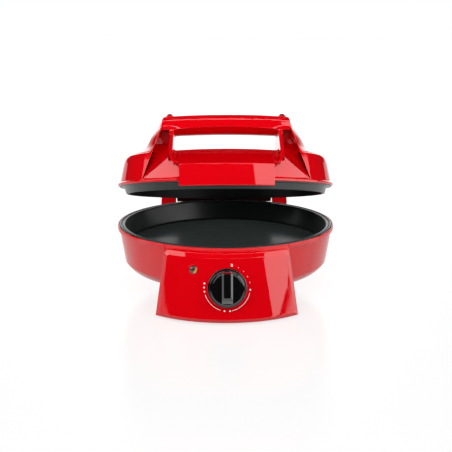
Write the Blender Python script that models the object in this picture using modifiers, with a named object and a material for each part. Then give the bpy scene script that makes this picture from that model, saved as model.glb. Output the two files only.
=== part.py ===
"""Countertop pizza maker with two round plates, a hinged lid and a thermostat panel.

Every piece is modelled round the pan axis, with Z up from the table, and then hung on an empty
that carries it: the stand for the base, the lid hinge for the lid, the knob axis for the knob.
"""
from math import atan, atan2, cos, hypot, pi, radians, sin, sqrt, tan

import bmesh
import bpy
from mathutils import Matrix, Vector

# Overall sizes, in metres. Shares are plain numbers, and their names say so.
PARTING_HEIGHT = 0.102          # table to the plane where the two plates meet
PARTING_GAP = 0.0003            # half of the slit between the two plates
LID_OPEN_AT_REST = radians(14.4)
FIT = 0.0003                    # gap between pieces that sit on each other
OVERRUN = 0.010                 # how far a cutter reaches past what it cuts
FINE_STEPS = 64                 # facets round the large turned pieces
SMALL_STEPS = 20                # facets round shafts, feet and rings

# Lower pan
PAN_MOUTH_RADIUS = 0.1505
PAN_FLANGE_WIDTH = 0.0075
PAN_FLANGE_RADIUS = PAN_MOUTH_RADIUS + PAN_FLANGE_WIDTH
PAN_FLANGE_THICKNESS = 0.0035
PAN_DEPTH = 0.030
PAN_TAPER = 0.0065
PAN_FLOOR_RADIUS = PAN_MOUTH_RADIUS - PAN_TAPER
PAN_WALL = 0.003
PAN_GROOVE_DEPTH = 0.0012
# the flange's top, outwards: share of its width, and depth in shares of the groove's depth
PAN_FLANGE_SHARES = (
    (0.0, 1.0), (0.125, 0.5), (0.4, 0.5), (0.475, 1.5), (0.6, 1.5), (0.675, 0.0), (0.94, 0.0),
)
PAN_BOSS_CIRCLE = 0.060
PAN_BOSS_RADIUS = 0.006
PAN_BOSS_HEIGHT = 0.014

# Upper plate
PLATE_FLANGE_STEP = 0.0008
PLATE_FLANGE_RADIUS = PAN_FLANGE_RADIUS - PLATE_FLANGE_STEP
PLATE_FLANGE_THICKNESS = 0.003
PLATE_SKIRT_CLEARANCE = 0.001
PLATE_SKIRT_RADIUS = PAN_MOUTH_RADIUS - PLATE_SKIRT_CLEARANCE
PLATE_SKIRT_DEPTH = 0.0095
PLATE_SKIRT_DRAFT = 0.002
PLATE_CAVITY_HEIGHT = 0.014     # parting plane up to the dish floor
PLATE_DISH_SETBACK = 0.0105
PLATE_DISH_RADIUS = PLATE_SKIRT_RADIUS - PLATE_DISH_SETBACK

# Base bowl
RIM_LIP = 0.0027
BEAD_RADIUS = PAN_FLANGE_RADIUS + RIM_LIP
BEAD_HEIGHT = 0.0065
BEAD_TOP_DROP = 0.0012
BEAD_STEP = 0.0031
BOWL_RADIUS = BEAD_RADIUS - BEAD_STEP
BOWL_TAPER = 0.0073
BOWL_WAIST_RADIUS = BOWL_RADIUS - BOWL_TAPER
BOWL_FLOOR_DROP = 0.074
BOWL_WAIST_SHARE = 0.73
BOWL_WAIST_DROP = BOWL_FLOOR_DROP * BOWL_WAIST_SHARE
BOWL_FLOOR_SHARE = 0.6653
BOWL_FLOOR_RADIUS = BOWL_WAIST_RADIUS * BOWL_FLOOR_SHARE
BOWL_WALL = 0.0026
BOWL_CORNER_SHARES = ((0.087, 0.30), (0.245, 0.625), (0.503, 0.875))
BOTTOM_LEDGE = 0.006
BOWL_MOUTH_RADIUS = BOWL_FLOOR_RADIUS - BOTTOM_LEDGE
BOTTOM_SHEET = 0.0013
VENT_COUNT = 12
VENT_WIDTH = 0.0042
VENT_START_SHARE = 0.45
VENT_END_SHARE = 0.72

# Control console and its face
FLOOR_CLEARANCE = 0.0035        # table to the underside of the housings
CONSOLE_TOP_DROP = 0.0062
CONSOLE_BOTTOM_DROP = PARTING_HEIGHT - FLOOR_CLEARANCE
CONSOLE_WIDTH_SHARE = 0.532
CONSOLE_TOP_HALF_WIDTH = BEAD_RADIUS * CONSOLE_WIDTH_SHARE
CONSOLE_SPREAD = 0.013
CONSOLE_BOTTOM_HALF_WIDTH = CONSOLE_TOP_HALF_WIDTH + CONSOLE_SPREAD
CONSOLE_LEDGE = 0.0093
CONSOLE_TOP_REACH = BEAD_RADIUS + CONSOLE_LEDGE         # pan axis to the top front edge
CONSOLE_FLARE = 0.020
CONSOLE_BOTTOM_REACH = CONSOLE_TOP_REACH + CONSOLE_FLARE
CONSOLE_BULGE_STEP = 0.0107
CONSOLE_FACE_RADIUS = BEAD_RADIUS - CONSOLE_BULGE_STEP  # the face bulges on this radius
CONSOLE_ROOT_REACH = BOWL_FLOOR_RADIUS
CONSOLE_COLUMNS = 14
PANEL_THICKNESS = 0.008
PANEL_WALL = 0.003
PANEL_BEVEL = 0.005
PANEL_TOP_BEVEL = 0.0062
PANEL_CORNER_RADIUS = 0.0095
PANEL_CORNER_STEPS = 3
# inset from the outline and depth behind the face of the bevelled border, outwards
PANEL_BEVEL_SHARES = ((1.0, 0.0), (0.55, 0.12), (0.16, 0.45), (0.0, 1.0))
NECK_LIP = 0.0014               # wall of the rim's lip where the panel meets it

# Knob, lamp and thermostat
KNOB_DROP_SHARE = 0.5198
KNOB_DROP = CONSOLE_BOTTOM_DROP * KNOB_DROP_SHARE
KNOB_RADIUS = 0.0243
KNOB_DISC_DEPTH = 0.012
KNOB_STAND_OFF = 0.0012
KNOB_RING_STEP = 0.0004
# the disc's edge, inwards: share of its radius, and height in ring steps
KNOB_EDGE_SHARES = ((0.80, 0.0), (0.90, 1.0), (0.95, 0.0), (0.985, -2.0))
KNOB_GRIP_WIDTH = 0.0155
KNOB_GRIP_TOP_WIDTH = 0.0098
KNOB_GRIP_HEIGHT = 0.009
# half lengths of the grip bar, as shares of the knob's radius
KNOB_GRIP_END_SHARE = 0.955
KNOB_GRIP_LOW_SHARE = 0.497
KNOB_GRIP_HIGH_SHARE = 0.821
KNOB_ROOF = 0.003
SURROUND_CLEARANCE = 0.0022
SURROUND_RADIUS = KNOB_RADIUS + SURROUND_CLEARANCE
SURROUND_WALL = 0.0018
SURROUND_HEIGHT = 0.0035
SHAFT_RADIUS = 0.003
SHAFT_CLEARANCE = 0.00008
SHAFT_HOLE_RADIUS = 0.006
THERMOSTAT_RADIUS = 0.015
THERMOSTAT_DEPTH = 0.014
THERMOSTAT_BORE = 0.0098
THERMOSTAT_STRAP = 0.057
LAMP_OFFSET = 0.0455
LAMP_DROP_SHARE = 0.2893
LAMP_DROP = CONSOLE_BOTTOM_DROP * LAMP_DROP_SHARE
LAMP_LENS_RADIUS = 0.0052
LAMP_DOME_HEIGHT = 0.0026
LAMP_BEZEL_RADIUS = 0.0068
LAMP_BEZEL_HEIGHT = 0.0016
LAMP_BODY_RADIUS = 0.0042
LAMP_BODY_LENGTH = 0.022

# Lid shell
LID_RIM_STEP = 0.0007
LID_RADIUS = BEAD_RADIUS - LID_RIM_STEP
LID_BEAD_BOTTOM = 0.0018
LID_BEAD_TOP = 0.0052
LID_FLARE = 0.0034
LID_WALL_FOOT_RADIUS = LID_RADIUS - LID_FLARE
LID_WALL_FOOT_HEIGHT = 0.008
LID_DRAFT = 0.0051
LID_WALL_TOP_RADIUS = LID_WALL_FOOT_RADIUS - LID_DRAFT
LID_SHOULDER_HEIGHT = 0.0495
LID_WALL_TOP_SHARE = 0.687
LID_WALL_TOP_HEIGHT = LID_SHOULDER_HEIGHT * LID_WALL_TOP_SHARE
LID_SHOULDER_SHARES = ((0.990, 0.78), (0.978, 0.86), (0.955, 0.917), (0.865, 1.0))
LID_CROWN = 0.0025
LID_CROWN_HEIGHT = LID_SHOULDER_HEIGHT + LID_CROWN
LID_WALL = 0.0026

# Finger window
WINDOW_HALF_WIDTH = 0.0740
WINDOW_SILL = 0.003
WINDOW_FLOOR = LID_SHOULDER_HEIGHT + WINDOW_SILL
WINDOW_HEIGHT = 0.018
WINDOW_TOP = WINDOW_FLOOR + WINDOW_HEIGHT
WINDOW_ARCH = 0.002
GRIP_LIP_ARCH = 0.004
GRIP_FRONT_RISE = 0.0075
# the grip's underside, backwards: share of the handle's depth from its back, and share of the lip's rise
GRIP_BELLY_SHARES = ((0.45, 0.0), (0.72, 0.35), (0.92, 0.8))

# Bridge that carries the handle
BRIDGE_FRONT_SHARE = 0.65       # front plane of the fins, as a share of the lid's radius
BRIDGE_FRONT_REACH = LID_RADIUS * BRIDGE_FRONT_SHARE
BRIDGE_LEAN_SHARE = 0.14
GRIP_HEIGHT = 0.0265
HANDLE_HEIGHT = WINDOW_TOP + GRIP_HEIGHT
HANDLE_CROWN = 0.0026
GRIP_SIDE = 0.016
HANDLE_HALF_WIDTH = WINDOW_HALF_WIDTH + GRIP_SIDE
HANDLE_DEPTH = 0.036
HANDLE_EDGE = 0.004
HANDLE_SPLIT_SHARE = 0.950      # share of the handle's height where its cap begins
HANDLE_WALL = 0.003
HANDLE_TROUGH_DEPTH = 0.0125
HANDLE_TROUGH = HANDLE_HEIGHT - HANDLE_TROUGH_DEPTH
BRIDGE_BACK_REACH = 0.022       # behind the pan axis, where the ramp meets the roof
BRIDGE_WAIST = 0.040            # in front of the pan axis, where the bridge is widest
BRIDGE_SWELL_SHARE = 0.58
FIN_WALL = 0.0032
# height, front half width and waist half width, as shares of the handle's own sizes
BRIDGE_SHARES = (
    (0.412, 1.230, 1.455),
    (0.500, 1.165, 1.365),
    (0.577, 1.122, 1.290),
    (0.711, 1.073, 1.205),
    (0.794, 1.037, 1.140),
    (0.887, 1.011, 1.068),
    (0.950, 1.000, 1.030),
    (0.985, 0.988, 1.004),
    (1.000, 0.965, 0.975),
)

# Pockets between the fins and the cheeks
CHEEK_THICKNESS = 0.0055
CHEEK_TIP_SHARE = 0.8
POCKET_SETBACK = 0.044
POCKET_BACK_REACH = BRIDGE_FRONT_REACH - POCKET_SETBACK
POCKET_RISE = 0.007
POCKET_TOP = WINDOW_TOP + POCKET_RISE
POCKET_LEDGE = 0.0075
POCKET_STEP = WINDOW_FLOOR + POCKET_LEDGE
POCKET_ROWS_SHARES = (0, 0.25, 0.5, 0.75, 1.0, 1.35, 1.7)
POCKET_TOP_WIDTH_SHARE = 1.055
POCKET_STEP_WIDTH_SHARE = 1.155
SHIELD_TOP = 0.036
SHIELD_SIDE = 0.006
SHIELD_TOP_HALF_WIDTH = WINDOW_HALF_WIDTH + SHIELD_SIDE
SHIELD_FOOT = 0.0056
SHIELD_SPREAD = 0.044
SHIELD_FOOT_HALF_WIDTH = WINDOW_HALF_WIDTH + SHIELD_SPREAD
TRIM_WIDTH_SHARES = (1.16, 0.90)
LEG_HOLLOW_WIDTH_SHARES = (1.20, 1.02)
LEG_HOLLOW_TOP_SHARE = 0.78

# reach along the lid, height and inward bend of the cheek's front edge
CHEEK_SHARES = (
    (0.555, 0.810, 0.0), (0.600, 0.700, 0.0), (0.720, 0.545, 0.0), (0.820, 0.418, 0.04),
    (0.880, 0.345, 0.25), (0.915, 0.300, 0.60), (0.927, 0.272, 0.95),
)
CHEEK_FOOT_SHARE = 0.9

# Tongue with the front apron
APRON_INSET = 0.009
APRON_HALF_WIDTH = WINDOW_HALF_WIDTH - APRON_INSET
APRON_GAP = 0.0005
APRON_WALL = 0.0028
APRON_RADIUS = BEAD_RADIUS + APRON_GAP + APRON_WALL
APRON_TOP_SHARE = 0.505
APRON_TOP = LID_SHOULDER_HEIGHT * APRON_TOP_SHARE
APRON_BOTTOM = -0.0052
# the apron's front edge: depth behind its front and height below its top, in wall thicknesses
APRON_EDGE_SHARES = ((0.3, 0.2), (0.0, 0.8))
APRON_LIP_SHARE = 0.4
TONGUE_SETBACK = 0.021
TONGUE_BACK_REACH = BRIDGE_FRONT_REACH - TONGUE_SETBACK
TONGUE_COLUMNS = 10
WING_FRONT_SHARE = 0.91

# Lid feet on the handle
LID_FOOT_INSET = 0.010
LID_FOOT_OFFSET = HANDLE_HALF_WIDTH - LID_FOOT_INSET
LID_FOOT_RADIUS = 0.0064
LID_FOOT_BOSS_HEIGHT = 0.0028
LID_FOOT_BOSS_RADIUS = 0.0046
LID_FOOT_TIP_RADIUS = 0.0034
LID_FOOT_TOP_RADIUS = 0.0027
LID_FOOT_HEIGHT = 0.0046

# Rear housing and hinge
HINGE_STAND_OFF = 0.037
HINGE_SETBACK = LID_RADIUS + HINGE_STAND_OFF            # pan axis to hinge axis
HOUSING_HALF_WIDTH = 0.104
EAR_WIDTH = 0.0245
EAR_RADIUS = 0.012
EAR_STEPS = 8
EAR_SLOPE = 0.031
EAR_FOOT_REACH = HINGE_SETBACK - EAR_SLOPE              # where the ears rise from the housing
HOUSING_MARGIN = 0.004
HOUSING_ROOT_REACH = BOWL_FLOOR_RADIUS + HOUSING_MARGIN # where the housing ends under the bowl
HOUSING_BACK = HINGE_SETBACK + EAR_RADIUS
HOUSING_TOP_DROP = 0.016
HOUSING_WALL = 0.003
HOUSING_EDGE = 0.003
INLET_RADIUS = 0.0065
INLET_FLANGE_RADIUS = 0.0095
INLET_FLANGE = 0.002
INLET_DEPTH = 0.006
INLET_BORE_RADIUS = 0.0037
INLET_HEIGHT = 0.028
LEAD_PORT_RADIUS = 0.009
LEAD_PORT_DROP = 0.052
PIN_RADIUS = 0.003
PIN_CLEARANCE = 0.00008
PIN_LENGTH = 0.046
PIN_STEPS = 16
PIN_SEAT = 0.0015
PIN_END_GAP = 0.0012
ARM_RADIUS = 0.0118
ARM_CLEARANCE = 0.0012
ARM_RISE = 0.006
ARM_STEPS = 10

# Feet
FOOT_RADIUS = 0.010
FOOT_BOTTOM_RADIUS = 0.009
FOOT_STEM_LENGTH = 0.0035
FOOT_STEM_RADIUS = 0.004
FOOT_SIDE_INSET = 0.032
FOOT_SIDE_OFFSET = HOUSING_HALF_WIDTH - FOOT_SIDE_INSET
FOOT_FRONT_INSET = 0.051
FOOT_FRONT_REACH = CONSOLE_BOTTOM_REACH - FOOT_FRONT_INSET
FOOT_BACK_INSET = 0.023
FOOT_BACK_REACH = HOUSING_BACK - FOOT_BACK_INSET

# Heating parts
ELEMENT_TUBE_RADIUS = 0.0033
ELEMENT_INSET = 0.040
ELEMENT_CIRCLE = PAN_FLOOR_RADIUS - ELEMENT_INSET
ELEMENT_GAP = radians(40)
ELEMENT_STEPS = 36
ELEMENT_TAIL = 0.024
ELEMENT_DROP = 0.012
REFLECTOR_MARGIN = 0.022
REFLECTOR_RADIUS = ELEMENT_CIRCLE + REFLECTOR_MARGIN
REFLECTOR_SLOPE = 0.014
REFLECTOR_EDGE = 0.007
REFLECTOR_SHEET = 0.0008
NOTCH_MARGIN = 0.010
CLIP_WIDTH = 0.010
CLIP_SHEET = 0.0012
CLIP_LENGTH = 0.022
SCREW_RADIUS = 0.002
SCREW_HEAD_RADIUS = 0.0038
SCREW_HEAD_TOP_RADIUS = 0.0023
SCREW_HEAD_HEIGHT = 0.0022
SCREW_LENGTH = 0.010
SCREW_STEPS = 10

# Wiring inside the base
LEAD_RADIUS = 0.0012
LEAD_SPACING = 0.0042
LEAD_BEND = 0.0024
LEAD_GATHER_SHARE = 0.8
TERMINAL_WIDTH = 0.028
TERMINAL_DEPTH = 0.014
TERMINAL_HEIGHT = 0.012
TERMINAL_INSET = 0.033
TERMINAL_REACH = HOUSING_BACK - TERMINAL_INSET          # pan axis to the block's front
TERMINAL_FLOOR = 0.038
FUSE_RADIUS = 0.0024
FUSE_LENGTH = 0.012
FUSE_OFFSET = 0.032

# Colours
RED = (0.62, 0.004, 0.006)
BLACK = (0.012, 0.012, 0.013)
COATED = (0.020, 0.021, 0.022)
STEEL = (0.55, 0.55, 0.56)
HEATED_STEEL = (0.22, 0.20, 0.18)
RUBBER = (0.03, 0.03, 0.03)
AMBER = (0.55, 0.16, 0.02)
CERAMIC = (0.75, 0.72, 0.64)


# Scene set-up
for old in list(bpy.data.objects):
    bpy.data.objects.remove(old, do_unlink=True)

parts = bpy.data.collections.new("pizza_maker")
cutters = bpy.data.collections.new("cutters")
bpy.context.scene.collection.children.link(parts)
bpy.context.scene.collection.children.link(cutters)


def make_material(name, colour, roughness, metallic=0.0):
    """One Principled finish."""
    material = bpy.data.materials.new(name)
    material.use_nodes = True
    shader = material.node_tree.nodes["Principled BSDF"]
    shader.inputs["Base Color"].default_value = (*colour, 1.0)
    shader.inputs["Roughness"].default_value = roughness
    shader.inputs["Metallic"].default_value = metallic
    return material


RED_ABS = make_material("red_abs", RED, 0.15)
BLACK_ABS = make_material("black_abs", BLACK, 0.35)
NON_STICK = make_material("non_stick_aluminium", COATED, 0.45, 0.3)
SHEET_STEEL = make_material("sheet_steel", STEEL, 0.35, 1.0)
FOOT_RUBBER = make_material("foot_rubber", RUBBER, 0.8)
AMBER_LENS = make_material("amber_lens", AMBER, 0.1)
CERAMIC_WHITE = make_material("ceramic", CERAMIC, 0.6)
KNOB_BLACK = make_material("knob_black", BLACK, 0.12)
HEATER_TUBE = make_material("heater_tube", HEATED_STEEL, 0.45, 1.0)
LEAD_SLEEVE = make_material("lead_sleeve", RUBBER, 0.55)


# The empties that carry the bodies
def make_empty(name, location, rotation=(0, 0, 0), parent=None):
    empty = bpy.data.objects.new(name, None)
    bpy.context.scene.collection.objects.link(empty)
    empty.location = location
    empty.rotation_euler = rotation
    empty.parent = parent
    return empty


FACE_LEAN = atan2(CONSOLE_BOTTOM_REACH - CONSOLE_TOP_REACH, CONSOLE_BOTTOM_DROP - CONSOLE_TOP_DROP)


def face_reach(drop):
    """Distance from the pan axis to the middle of the console face, at a drop below the parting plane."""
    return CONSOLE_TOP_REACH + (drop - CONSOLE_TOP_DROP) * tan(FACE_LEAN)


# The pan axis stands off the middle of the whole outline, so the origin is the middle of the footprint.
KNOB_TOP = KNOB_STAND_OFF + KNOB_DISC_DEPTH + KNOB_GRIP_HEIGHT
FRONT_REACH = (
    face_reach(KNOB_DROP) + KNOB_TOP * cos(FACE_LEAN) + KNOB_RADIUS * KNOB_GRIP_LOW_SHARE * sin(FACE_LEAN)
)
PAN_AXIS_Y = (FRONT_REACH - HOUSING_BACK - INLET_FLANGE) / 2
stand = make_empty("stand", (0, PAN_AXIS_Y, 0))
lid_hinge = make_empty("lid_hinge", (0, HINGE_SETBACK, PARTING_HEIGHT), (-LID_OPEN_AT_REST, 0, 0), stand)


def face_sag(x):
    """How far the bulging face has fallen back at a sideways place."""
    return CONSOLE_FACE_RADIUS - sqrt(CONSOLE_FACE_RADIUS ** 2 - x ** 2)


knob_axis = make_empty(
    "knob_axis",
    (0, -face_reach(KNOB_DROP), PARTING_HEIGHT - KNOB_DROP),
    (pi / 2 - FACE_LEAN, 0, 0),
    stand,
)


# Building blocks
def finish(obj, material, parent, smooth_angle=32):
    """Gives a piece its finish, its carrier and smooth round sides."""
    obj.data.materials.append(material)
    obj.parent = parent
    obj.data.shade_smooth()
    obj.data.set_sharp_from_angle(angle=radians(smooth_angle))
    return obj


def add_mesh(name, mesh, collection=None):
    obj = bpy.data.objects.new(name, mesh)
    (collection or parts).objects.link(obj)
    if collection is cutters:
        obj.hide_render = True
        obj.display_type = "WIRE"
    return obj


def mesh_from(bm, name):
    bmesh.ops.recalc_face_normals(bm, faces=bm.faces)
    mesh = bpy.data.meshes.new(name)
    bm.to_mesh(mesh)
    bm.free()
    return mesh


def turned(name, profile, steps=FINE_STEPS, closed=False, collection=None):
    """Turns a profile of (radius, height) about Z. It runs down the outer side, top to bottom."""
    bm = bmesh.new()
    points = [bm.verts.new((r, 0, z)) for r, z in profile]
    for first, second in zip(points, points[1:]):
        bm.edges.new((first, second))
    if closed:
        bm.edges.new((points[-1], points[0]))
    mesh = bpy.data.meshes.new(name)
    bm.to_mesh(mesh)
    bm.free()
    obj = add_mesh(name, mesh, collection)
    screw = obj.modifiers.new("turn", "SCREW")
    screw.axis = "Z"
    screw.angle = 2 * pi
    screw.steps = steps
    screw.render_steps = steps
    screw.use_merge_vertices = True
    screw.merge_threshold = 0.00001
    return obj


def loft(name, rings, collection=None, cap=True):
    """Skins a stack of rings that have the same number of points, and closes both ends."""
    bm = bmesh.new()
    rows = [[bm.verts.new(point) for point in ring] for ring in rings]
    count = len(rows[0])
    for low, high in zip(rows, rows[1:]):
        for i in range(count):
            j = (i + 1) % count
            bm.faces.new((low[i], low[j], high[j], high[i]))
    if cap:
        bm.faces.new(rows[0])
        bm.faces.new(rows[-1])
    return add_mesh(name, mesh_from(bm, name), collection)


def prism(name, outline, axis, start, end, collection=None):
    """Extrudes an outline along X, Y or Z. The outline gives the other two coordinates in order."""
    def place(point, along):
        first, second = point
        return {"X": (along, first, second), "Y": (first, along, second), "Z": (first, second, along)}[axis]

    rings = [[place(point, along) for point in outline] for along in (start, end)]
    return loft(name, rings, collection)


def cylinder(name, radius, start, end, steps=SMALL_STEPS, collection=None, cone=None):
    """A capped cylinder or cone between two points."""
    start = Vector(start)
    end = Vector(end)
    bm = bmesh.new()
    bmesh.ops.create_cone(
        bm, cap_ends=True, segments=steps, radius1=radius, radius2=radius if cone is None else cone,
        depth=(end - start).length,
    )
    turn = (end - start).to_track_quat("Z", "Y").to_matrix().to_4x4()
    bmesh.ops.transform(bm, matrix=Matrix.Translation((start + end) / 2) @ turn, verts=bm.verts)
    mesh = bpy.data.meshes.new(name)
    bm.to_mesh(mesh)
    bm.free()
    return add_mesh(name, mesh, collection)


def box(name, low, high, collection=None):
    bm = bmesh.new()
    bmesh.ops.create_cube(bm, size=1)
    low = Vector(low)
    high = Vector(high)
    size = high - low
    bmesh.ops.transform(bm, matrix=Matrix.Translation((low + high) / 2) @ Matrix.Diagonal((*size, 1)), verts=bm.verts)
    mesh = bpy.data.meshes.new(name)
    bm.to_mesh(mesh)
    bm.free()
    return add_mesh(name, mesh, collection)


def boolean(obj, tool, operation):
    modifier = obj.modifiers.new(operation.lower(), "BOOLEAN")
    modifier.operation = operation
    modifier.solver = "EXACT"
    modifier.object = tool


def cut(obj, *tools):
    for tool in tools:
        boolean(obj, tool, "DIFFERENCE")


def join(obj, *tools):
    for tool in tools:
        boolean(obj, tool, "UNION")


def hang(tool, parent):
    """A cutter follows the same carrier as the piece that it cuts."""
    tool.parent = parent
    return tool


def curve_tube(name, points, radius, parent, material, cyclic=False):
    """A bent tube or wire, as a mesh with closed ends."""
    data = bpy.data.curves.new(name, "CURVE")
    data.dimensions = "3D"
    data.bevel_depth = radius
    data.bevel_resolution = 1
    data.use_fill_caps = True
    spline = data.splines.new("POLY")
    spline.points.add(len(points) - 1)
    for slot, point in zip(spline.points, points):
        slot.co = (*point, 1)
    spline.use_cyclic_u = cyclic
    guide = bpy.data.objects.new(name + "_path", data)
    cutters.objects.link(guide)
    mesh = bpy.data.meshes.new_from_object(guide.evaluated_get(bpy.context.evaluated_depsgraph_get()))
    bpy.data.objects.remove(guide)
    bm = bmesh.new()
    bm.from_mesh(mesh)
    bmesh.ops.remove_doubles(bm, verts=bm.verts, dist=0.00001)
    bm.to_mesh(mesh)
    bm.free()
    return finish(add_mesh(name, mesh), material, parent)


# Heights above the table, for the base pieces
def up(drop):
    """Height above the table of something a given drop below the parting plane."""
    return PARTING_HEIGHT - drop


# The lid is modelled closed, in the frame of its hinge: the pan axis lies in front of it.
def lid_point(x, y, z):
    return (x, y - HINGE_SETBACK, z)


def lid_rings(rings):
    return [[lid_point(*point) for point in ring] for ring in rings]


def lid_turned(name, profile, steps=FINE_STEPS, closed=False, collection=None):
    obj = turned(name, profile, steps, closed, collection)
    obj.location = lid_point(0, 0, 0)
    return obj


# Lower pan
def lower_pan():
    top = up(PARTING_GAP)
    floor = top - PAN_DEPTH
    profile = [(0, floor), (PAN_FLOOR_RADIUS - PAN_WALL, floor), (PAN_FLOOR_RADIUS, floor + PAN_WALL / 2)]
    for width_share, depth_share in PAN_FLANGE_SHARES:
        profile.append((PAN_MOUTH_RADIUS + PAN_FLANGE_WIDTH * width_share, top - PAN_GROOVE_DEPTH * depth_share))
    profile += [
        (PAN_FLANGE_RADIUS, top - PAN_GROOVE_DEPTH / 2),
        (PAN_FLANGE_RADIUS, top - PAN_FLANGE_THICKNESS),
        (PAN_MOUTH_RADIUS + PAN_WALL, top - PAN_FLANGE_THICKNESS),
        (PAN_FLOOR_RADIUS + PAN_WALL, floor - PAN_WALL / 2),
        (PAN_FLOOR_RADIUS, floor - PAN_WALL),
        (0, floor - PAN_WALL),
    ]
    pan = turned("lower_pan", profile)
    bosses(pan, floor - PAN_WALL, -PAN_BOSS_HEIGHT, stand, plain)
    return finish(pan, NON_STICK, stand)


def bosses(plate, back, length, parent, frame):
    """Three drilled bosses on a plate's back, at a signed length from it."""
    bite = PAN_WALL / 2 if length < 0 else -PAN_WALL / 2
    reach = -OVERRUN if length < 0 else OVERRUN
    for i, x, y in boss_places():
        boss = cylinder(
            f"{plate.name}_boss_{i}", PAN_BOSS_RADIUS, frame(x, y, back + bite), frame(x, y, back + length),
            collection=cutters, steps=SCREW_STEPS,
        )
        hole = cylinder(
            f"{plate.name}_boss_hole_{i}", SCREW_RADIUS + FIT, frame(x, y, back), frame(x, y, back + length + reach),
            steps=SCREW_STEPS, collection=cutters,
        )
        join(plate, hang(boss, parent))
        cut(plate, hang(hole, parent))


# Base bowl with its console box
def bowl_profile(offset, top_drop, floor_radius):
    """Outer side of the bowl, moved inwards by an offset, from the rim down to the floor's edge."""
    waist = BOWL_WAIST_RADIUS - offset
    floor = up(BOWL_FLOOR_DROP) + offset
    waist_height = up(BOWL_WAIST_DROP) + offset / 2
    points = [(BOWL_RADIUS - offset, up(top_drop)), (waist, waist_height)]
    for radius_share, height_share in BOWL_CORNER_SHARES:
        points.append((
            waist - (waist - BOWL_FLOOR_RADIUS) * radius_share,
            waist_height - (waist_height - floor) * height_share,
        ))
    points.append((BOWL_FLOOR_RADIUS, floor))
    if floor_radius < BOWL_FLOOR_RADIUS:
        points.append((floor_radius, floor))
    return points


def console_half_width(drop):
    share = (drop - CONSOLE_TOP_DROP) / (CONSOLE_BOTTOM_DROP - CONSOLE_TOP_DROP)
    return CONSOLE_TOP_HALF_WIDTH + (CONSOLE_BOTTOM_HALF_WIDTH - CONSOLE_TOP_HALF_WIDTH) * share


def console_solid(name, inset, front_setback):
    """The console's outer form moved inwards: a trapezoid with a bulging, leaning front."""
    drops = (CONSOLE_TOP_DROP + inset, CONSOLE_BOTTOM_DROP - inset)
    rings = []
    for drop in drops:
        half = console_half_width(drop) - inset
        xs = [half * (2 * i / CONSOLE_COLUMNS - 1) for i in range(CONSOLE_COLUMNS + 1)]
        ring = [(x, -face_reach(drop) + front_setback + face_sag(x), up(drop)) for x in xs]
        ring += [(half, -CONSOLE_ROOT_REACH - inset, up(drop)), (-half, -CONSOLE_ROOT_REACH - inset, up(drop))]
        rings.append(ring)
    return hang(loft(name, rings, cutters), stand)


def base_shell():
    rim_seat = PARTING_GAP + PAN_FLANGE_THICKNESS + FIT
    lip_radius = PAN_FLANGE_RADIUS + FIT * 2
    bead_half = (BEAD_RADIUS - BOWL_RADIUS) / 2
    profile = [
        (lip_radius, up(BEAD_TOP_DROP)),
        (BEAD_RADIUS - bead_half, up(BEAD_TOP_DROP)),
        (BEAD_RADIUS, up(BEAD_TOP_DROP + bead_half)),
        (BEAD_RADIUS, up(BEAD_TOP_DROP + BEAD_HEIGHT - bead_half)),
    ]
    profile += bowl_profile(0, BEAD_TOP_DROP + BEAD_HEIGHT, BOWL_MOUTH_RADIUS)
    inner = bowl_profile(BOWL_WALL, rim_seat + BEAD_HEIGHT, BOWL_MOUTH_RADIUS)
    profile += reversed(inner)
    profile += [(PAN_MOUTH_RADIUS + PAN_WALL + BOWL_WALL / 2, up(rim_seat)), (lip_radius, up(rim_seat))]
    shell = turned("base_shell", profile, closed=True)

    # The bead gives way to a plain lip where the panel stands.
    neck = turned(
        "neck_ring",
        [(lip_radius + NECK_LIP, up(-OVERRUN)), (BEAD_RADIUS + OVERRUN, up(-OVERRUN)),
         (BEAD_RADIUS + OVERRUN, up(BEAD_TOP_DROP + BEAD_HEIGHT + FIT)),
         (lip_radius + NECK_LIP, up(BEAD_TOP_DROP + BEAD_HEIGHT + FIT))],
        closed=True, collection=cutters,
    )
    half = CONSOLE_TOP_HALF_WIDTH + FIT
    boolean(neck, box(
        "neck_range", (-half, -BEAD_RADIUS - OVERRUN * 2, 0), (half, -CONSOLE_ROOT_REACH, PARTING_HEIGHT * 2), cutters,
    ), "INTERSECT")
    cut(shell, hang(neck, stand))

    wall_back = PANEL_THICKNESS + FIT
    join(shell, console_solid("console_outer", 0, wall_back))
    cut(shell, console_solid("console_hollow", BOWL_WALL, wall_back - OVERRUN))

    # The bowl's own hollow is opened again where the console box was joined to it.
    void = bowl_profile(BOWL_WALL, rim_seat + BEAD_HEIGHT, BOWL_MOUTH_RADIUS)
    hollow = turned(
        "bowl_hollow",
        [(0, up(-OVERRUN)), (lip_radius, up(-OVERRUN)), (lip_radius, up(rim_seat)),
         (PAN_MOUTH_RADIUS + PAN_WALL + BOWL_WALL / 2, up(rim_seat))] + void
        + [(BOWL_MOUTH_RADIUS, void[-1][1] - OVERRUN), (0, void[-1][1] - OVERRUN)],
        collection=cutters,
    )
    cut(shell, hang(hollow, stand))
    for side in (-1, 1):
        x = side * FOOT_SIDE_OFFSET
        stem = cylinder(
            f"front_foot_hole_{side}", FOOT_STEM_RADIUS + FIT,
            (x, -FOOT_FRONT_REACH, up(CONSOLE_BOTTOM_DROP) - OVERRUN),
            (x, -FOOT_FRONT_REACH, up(CONSOLE_BOTTOM_DROP) + OVERRUN), collection=cutters,
        )
        cut(shell, hang(stem, stand))
    cut(shell, lead_port("bowl_lead_port"))
    return finish(shell, RED_ABS, stand)


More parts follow.
